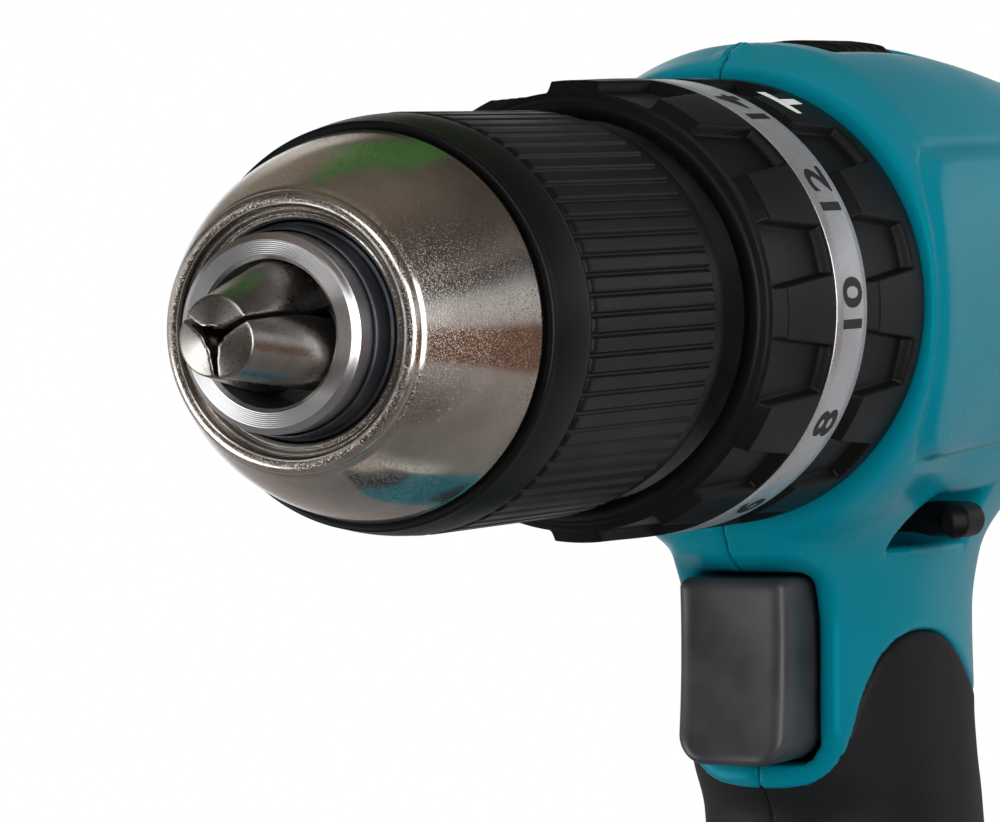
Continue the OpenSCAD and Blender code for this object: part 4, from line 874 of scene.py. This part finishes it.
gripCurve = smoothOutline([
    (45, 57.6), (26, 57.6), (23, 57.4), (22.1, 56), (21.4, 53.2), (20.6, 50.3), (19.4, 47.4),
    (17.2, 43.8), (14.6, 41), (11, 39.5), (7.4, 39.2), (2.8, 39.7), (-1.7, 41.5), (-5.3, 43.7),
    (-9, 46.2), (-14.2, 48.6), (-22.2, 50.4), (-70, 50.4), (-70, 127.6), (45, 127.6)], 2)

panelLine = smoothOutline([
    (24, 17.4), (27.6, 15.8), (29.8, 12.5), (31, 6), (31.2, 0), (31, -6), (30.4, -11), (29.4, -15),
    (27.4, -17.6), (23.5, -18.4), (12, -17.9), (6, -17.5), (-38, -14), (-45, -13), (-46, -9), (-46, 14),
    (-45, 16.4), (-42, 17)])
leverMiddle = (leverLow[2] + leverHigh[2]) / 2
leverLine = [(-3.5, -3), (-3.5, 3)]
leverLine += arc(10.2, -3, 6, 90, 0, 7)
sideScrews = [(collarX - 50, axisH + 22.4), (collarX - 51, axisH - 29), (-13, axisH - 72), (-19, axisH - 108),
              (33, 63.9), (-46, 63.9)]
# Hollows that the inner pieces sit in: tubes round the spindle (from, to, radius) and boxes
hollowTubes = [(1.8, collarX + 2, 21.3), (23.7, 27.3, 24.7), (13.9, 23.9, 23.3), (coverX - 1, -55.3, 17.5),
               (-56.3, 2.0, 20.5)]
hollowBoxes = [
    ((-6.5, -10.5, axisH + 20), (24, 10.5, axisH + 26.4)), ((-3, -12, 183.9), (18, 12, 188)),
    ((17, -6.5, 183.9), (25.5, 6.5, 188)), ((-9.9, -10.3, 152.2), (12.7, 10.3, 178.8)),
    ((-39.6, -18.35, 51), (60, 18.35, 57.4)), ((-39.6, -22.35, 55.65), (60, 22.35, 60.75)),
    ((-37.6, -15.2, 60), (-11.6, 15.2, 65.8)), ((35.7, -9, 60), (60, 9, 64.4)),
    ((-13, -4, 61.4), (2.5, 4, 67.4))]


def barrelSkin(x, y, up, front):
    # the barrel's outline along the spindle, drawn on past its ends
    inside = np.clip(x, rearX, front)
    return squircle(y, up, barrelW(inside), np.where(up > 0, barrelUp(inside), barrelDown(inside)), 2.15)


def barrelField(x, y, z):
    return softMax(barrelSkin(x, y, z - axisH, collarX), x - collarX + 0.02, 0.5)


def handleField(x, y, z, inset=0.0):
    depth = np.clip(axisH - z, *handleEnds)
    front, rear = handleFront(depth), handleRear(depth)
    long, wide = (front - rear) / 2 - inset, handleW(depth) - inset
    f = squircle(x - (front + rear) / 2, y, long, wide, handleN(depth))
    return np.maximum(np.maximum(f, z - (axisH - handleEnds[0])), axisH - handleEnds[1] - z)


def footField(x, y, z):
    tall = np.clip(z, footLow, footTop)
    f = squircle(x - footMid(tall), y, footL(tall), footW(tall), 6.0)
    return softMax(softMax(f, z - footTop, 2.0), footLow + 0.02 - z, 0.5)


def gripZone(x, z):
    return outlineDistance(x, axisH - z, gripCurve)


def hollowField(x, y, z):
    # everything that the shells are hollow for
    parts = [tubeField(x, y, z, *tube) for tube in hollowTubes]
    parts += [boxField(x, y, z, *box) for box in hollowBoxes]
    return reduce(np.minimum, parts, np.maximum(reach(x + 2, y) - 4.5, np.abs(z - 108.6) - 44.2))


triggerSlot = {"halfWidth": 7.35, "middle": 169.2, "halfHeight": 11.3, "lowerCorner": 3.6, "upperCorner": 1.4,
               "rear": 11.4}


def slotField(x, y, z):
    # opening for the trigger, with rounded lower corners
    corner = np.where(z < triggerSlot["middle"], triggerSlot["lowerCorner"], triggerSlot["upperCorner"])
    tall = np.abs(z - triggerSlot["middle"]) - triggerSlot["halfHeight"]
    slot = roundedSlot(np.abs(y) - triggerSlot["halfWidth"], tall, corner)
    return np.maximum(slot, triggerSlot["rear"] - x)


def housingField(side, x, y, z):
    up = z - axisH
    skin = softMax(handleField(x, y, z), -gripZone(x, z), 0.8)
    handle = np.minimum(handleField(x, y, z, shell["gripDepth"]), skin)
    f = softMin(barrelField(x, y, z), handle, shell["joinRadius"])
    f = softMin(f, footField(x, y, z), 5.0)
    # raised panel on the side of the barrel, in a narrow groove
    panel = outlineDistance(x, up, panelLine)
    f = f - (0.35 + 0.7 * (up / 17) ** 2) * smoothStep((0.2 - panel) / 1.1)
    f = f + 0.3 * smoothStep(1 - np.abs(panel - 0.5) / 0.7)
    # index mark on top of the collar
    mark = np.sqrt((x - (collarX - 4.6)) ** 2 * 0.35 + y * y)
    f = f - 0.7 * smoothStep((2.0 - mark) / 1.0) * (z > axisH + 20)
    # trigger opening with a raised lip, lever window and slider window with rounded edges
    opening = slotField(x, y, z)
    f = f - 0.8 * np.exp(-(((opening - 2.3) / 1.3) ** 2)) * (x > 12)
    f = softMax(f, -opening, 1.3)
    window = outlineDistance(x, z - leverMiddle, leverLine)
    f = softMax(f, -np.broadcast_to(window, np.broadcast(x, y, z).shape), 1.4)
    f = softMax(f, -boxField(x, y, z, (-4.5, -7.9, axisH + 20), (19.5, 7.9, axisH + 45), 1.2), 1.0)
    hook = reach(x - 22, z - 65.4)
    for s in (-1, 1):
        f = softMax(f, -np.maximum(hook - 5, 33.5 - s * y), 0.6)
        f = np.maximum(f, -np.maximum(hook - 3.05, 25.3 - s * y))
    for sx, sz in sideScrews:
        # the heads sit in wells on the tool's right
        f = softMax(f, -np.maximum(reach(x - sx, z - sz) - 3.2, y + 8.9), 0.4)
    f = np.maximum(f, -hollowField(x, y, z))
    f = softMax(f, shell["seam"] / 2 - side * y, 0.15)
    return softMax(f, coverX + 0.02 - x, 0.3)


def gripField(side, x, y, z):
    f = softMax(handleField(x, y, z) - 0.02, gripZone(x, z) + 0.12, 0.7)
    f = np.maximum(f, -handleField(x, y, z, shell["gripDepth"] - 0.02))
    f = np.maximum(f, -slotField(x, y, z))
    for sx, sz in sideScrews[2:4]:  # the two in the handle
        f = softMax(f, -np.maximum(reach(x - sx, z - sz) - 3.2, y), 0.3)
    return softMax(f, 0.02 - side * y, 0.15)


def coverField(x, y, z):
    up = z - axisH
    f = softMax(barrelSkin(x, y, up, coverX), rearX + 0.1 - x, 3.0)
    f = softMax(f, x - coverX + 0.1, 0.4)
    bore = np.maximum(reach(y, up) - np.interp(x, [rearX + 3, rearX + 8], [12, 17.5]), rearX + 3 - x)
    f = np.maximum(f, -bore)
    for level in range(-12, 13, 6):
        slit = squircle(x - rearX - 13, up - level, 5.5, 1.2, 5.0)
        f = softMax(f, -np.maximum(slit, 10 - np.abs(y)), 0.6)
    for sy, sz in ((-9, -19), (-9, 19), (9, -19), (9, 19)):
        hole = reach(y - sy, up - sz)
        f = softMax(f, -np.maximum(hole - 2.5, x - coverX + 5.1), 0.4)
        f = np.maximum(f, 1.4 - hole)
    return f


triggerShape = {"halfWidth": 6.76, "edge": 1.5, "lowerCorner": 3.6, "upperCorner": 1.2, "dish": 0.3,
                "front": 31.3, "foot": 158.35}


def triggerField(x, y, z):
    # a blade with a hollowed front, curved forward at its foot, and rounded lower corners
    top, foot = triggerHigh[2] - 0.03, triggerShape["foot"]
    s = np.clip((top - z) / (top - foot), 0, 1)
    front = triggerShape["front"] - 1.6 * s + 2.6 * s * s
    corner = np.where(s > 0.5, triggerShape["lowerCorner"], triggerShape["upperCorner"])
    tall = np.abs(z - (top + foot) / 2) - (top - foot) / 2
    f = roundedSlot(np.abs(y) - triggerShape["halfWidth"], tall, corner)
    dish = triggerShape["dish"] * np.clip(1 - (y / 5.0) ** 2, 0, 1)
    f = softMax(f, (x - front + dish) * 0.95, triggerShape["edge"])
    return np.maximum(f, triggerLow[0] + 0.02 - x)


def leverField(x, y, z):
    thick = 1.6 + 0.5 * smoothStep((np.abs(y) - 13) / 3)
    f = softMax(outlineDistance(x, y, leverBar), np.abs(z - leverMiddle) - thick, 2.2)
    return np.minimum(f, np.maximum(reach(x - 21, y) - 2.2, np.abs(z - leverMiddle) - 4))


leverBar = [(24.6, -3), (24.6, 3), (14, 6), (9.6, 9.5), (9.6, 17.2), (12.5, 18.6), (12.5, 20.1), (11.1, 21.5),
            (5.9, 21.5), (4.5, 20.1)]
leverBar += [(x, -y) for x, y in reversed(leverBar[2:])]


def sliderField(x, y, z):
    rear, low = sliderLow[0] + 2, sliderLow[2]
    f = boxField(x, y, z, (sliderLow[0], -9.5, low), (15.3, 9.5, low + 2), 0.4)
    drop = 1.1 * (y / 7.5) ** 2  # the top follows the crown
    thumb = boxField(x, y, z + drop, (rear, -7.5, low), (rear + 16, 7.5, sliderHigh[2] - 0.55), 1.3)
    f = np.minimum(f, thumb)
    for k in range(5):
        ridge = reach(x - rear - 2.2 - k * 2.9, z + drop - sliderHigh[2] + 0.92) - 0.9
        f = softMin(f, softMax(ridge, np.abs(y) - 6.3, 0.8), 0.4)
    return f


batteryShape = {"top": 52, "squareness": 6.0, "split": 26.0, "wall": 1.4}
batteryRows = np.array([  # height, half length, half width
    (0, 54, 34), (1, 55.6, 35.6), (3, 57, 37), (50, 57, 37), (batteryShape["top"], 55.4, 35.4)])
packL, packW = (smoothTable(batteryRows[:, 0], batteryRows[:, i]) for i in (1, 2))


def packField(x, y, z, inset=0.0):
    tall = np.clip(z, 0, batteryShape["top"])
    f = squircle(x, y, packL(tall) - inset, packW(tall) - inset, batteryShape["squareness"])
    return softMax(softMax(f, z - batteryShape["top"] + 0.03, 0.8), -z, 0.4)


def cellBay(x, y, z):
    bay = boxField(x, y, z, (-47.6, -32.8, 2.2), (47.6, 32.8, 40.6))
    return np.maximum(packField(x, y, z, batteryShape["wall"]), bay)


def lowerField(x, y, z):
    f = softMax(packField(x, y, z) + 0.02, z - batteryShape["split"] + 0.15, 0.5)
    grooves = np.minimum.reduce([np.abs(z - level) for level in (9.0, 14.0, 19.0)])
    sides = np.abs(y) > 30
    f = f + 0.5 * smoothStep((0.9 - grooves) / 0.8) * smoothStep((38 - np.abs(x)) / 2) * sides
    return np.maximum(f, -cellBay(x, y, z))


def upperField(x, y, z):
    f = softMax(packField(x, y, z) + 0.02, batteryShape["split"] + 0.15 - z, 0.5)
    f = softMin(f, boxField(x, y, z, (-41.6, -18, 50), (49, 18, 58), 0.4), 0.6)
    f = np.minimum(f, boxField(x, y, z, (-41.6, -22, 56), (49, 22, 60.4), 0.8))
    f = np.maximum(f, -cellBay(x, y, z))
    # slots for the contacts, then the well and the window of the catch
    cuts = [((-43, spot - 1.2, 56.4), (-17.6, spot + 1.2, 63)) for spot in (-10, -3.5, 3.5, 10)]
    cuts += [((35.6, -8.4, 40.7), (44.4, 8.4, 90)), ((36, -8.4, 40.7), (93, 8.4, 49.3))]
    for low, high in cuts:
        f = np.maximum(f, -boxField(x, y, z, low, high))
    return softMax(f, -boxField(x, y, z, (51.6, -15.4, 28.6), (70, 15.4, 49.8), 1.0), 1.0)


def latchField(x, y, z):
    f = boxField(x, y, z, (36, -8, 45), (44, 8, 63), 0.6)
    f = np.minimum(f, boxField(x, y, z, (36, -8, 45), (54, 8, 49), 0.4))
    button = boxField(x, y, z, (52, -15, 33), (56.6, 15, 49), 1.4)
    ridges = 0.35 * smoothStep((np.abs(((z - 33) % 2.6) - 1.3) - 0.5) / 0.5) * (x > 55) * (np.abs(y) < 12)
    return softMin(f, button + ridges, 0.3)


def makeBodywork():
    grid = shell["grid"]
    halves = ((1, "Left", "left"), (-1, "Right", "right"))
    for side, title, end in halves:
        field = partial(housingField, side)
        carve("shell" + title, field, "housing_" + end, "housing", tealShell, grid,
              shell["detail"])
    for side, title, end in halves:
        field = partial(gripField, side)
        carve("rubber" + title, field, "grip_" + end, "housing", gripRubber, grid,
              shell["gripDetail"])
    carve("rearCover", coverField, "rear_cover", "housing", tealShell, grid * 0.9)
    carve("triggerBlade", triggerField, "trigger", "trigger", triggerAcetal, 0.36)
    carve("reverseLever", leverField, "direction_lever", "direction", blackNylon, 0.35)
    carve("speedSlider", sliderField, "speed_slider", "speed", blackNylon, 0.4)
    carve("batteryTray", lowerField, "battery_lower", "battery", batteryShell, grid * 1.2)
    carve("batteryCover", upperField, "battery_upper", "battery", batteryTop, grid * 1.2)
    carve("batteryCatch", latchField, "battery_latch", "battery_catch", blackNylon, 0.5)


makeBodywork()
print("housing, handle and battery made")


# Finishes of the nodes that keep their own shape

keptFinishes = [
    (turned, "chuck_body"), (castAlloy, "gear_case"),
    (brass, "jaw_nut hook_inserts clutch_nut terminal_block"),
    (machinedSteel, "back_ring housing_screws switch_plunger clutch_balls spindle_bearings motor_can "
                    "armature_shaft"),
    (gearSteel, "chuck_screw shift_fork clutch_spring ring_gear_1 ring_gear_2 ring_gear_3 planet_1a "
                "planet_1b planet_1c planets_2 planet_3a planet_3b planet_3c carrier_1 carrier_2 carrier_3 "
                "spindle fixed_ratchet turning_ratchet"),
    (blackNylon, "trigger_switch brush_holder"), (ferrite, "motor_magnets"),
    (copper, "armature commutator"), (fanNylon, "motor_fan"), (cellFilm, "battery_cells"),
]
for finish, nodes in keptFinishes:
    for node in nodes.split():
        for materialSlot in frame["nodes"][node].material_slots:
            materialSlot.material = finish
print("finishes set on the nodes that keep their shape")
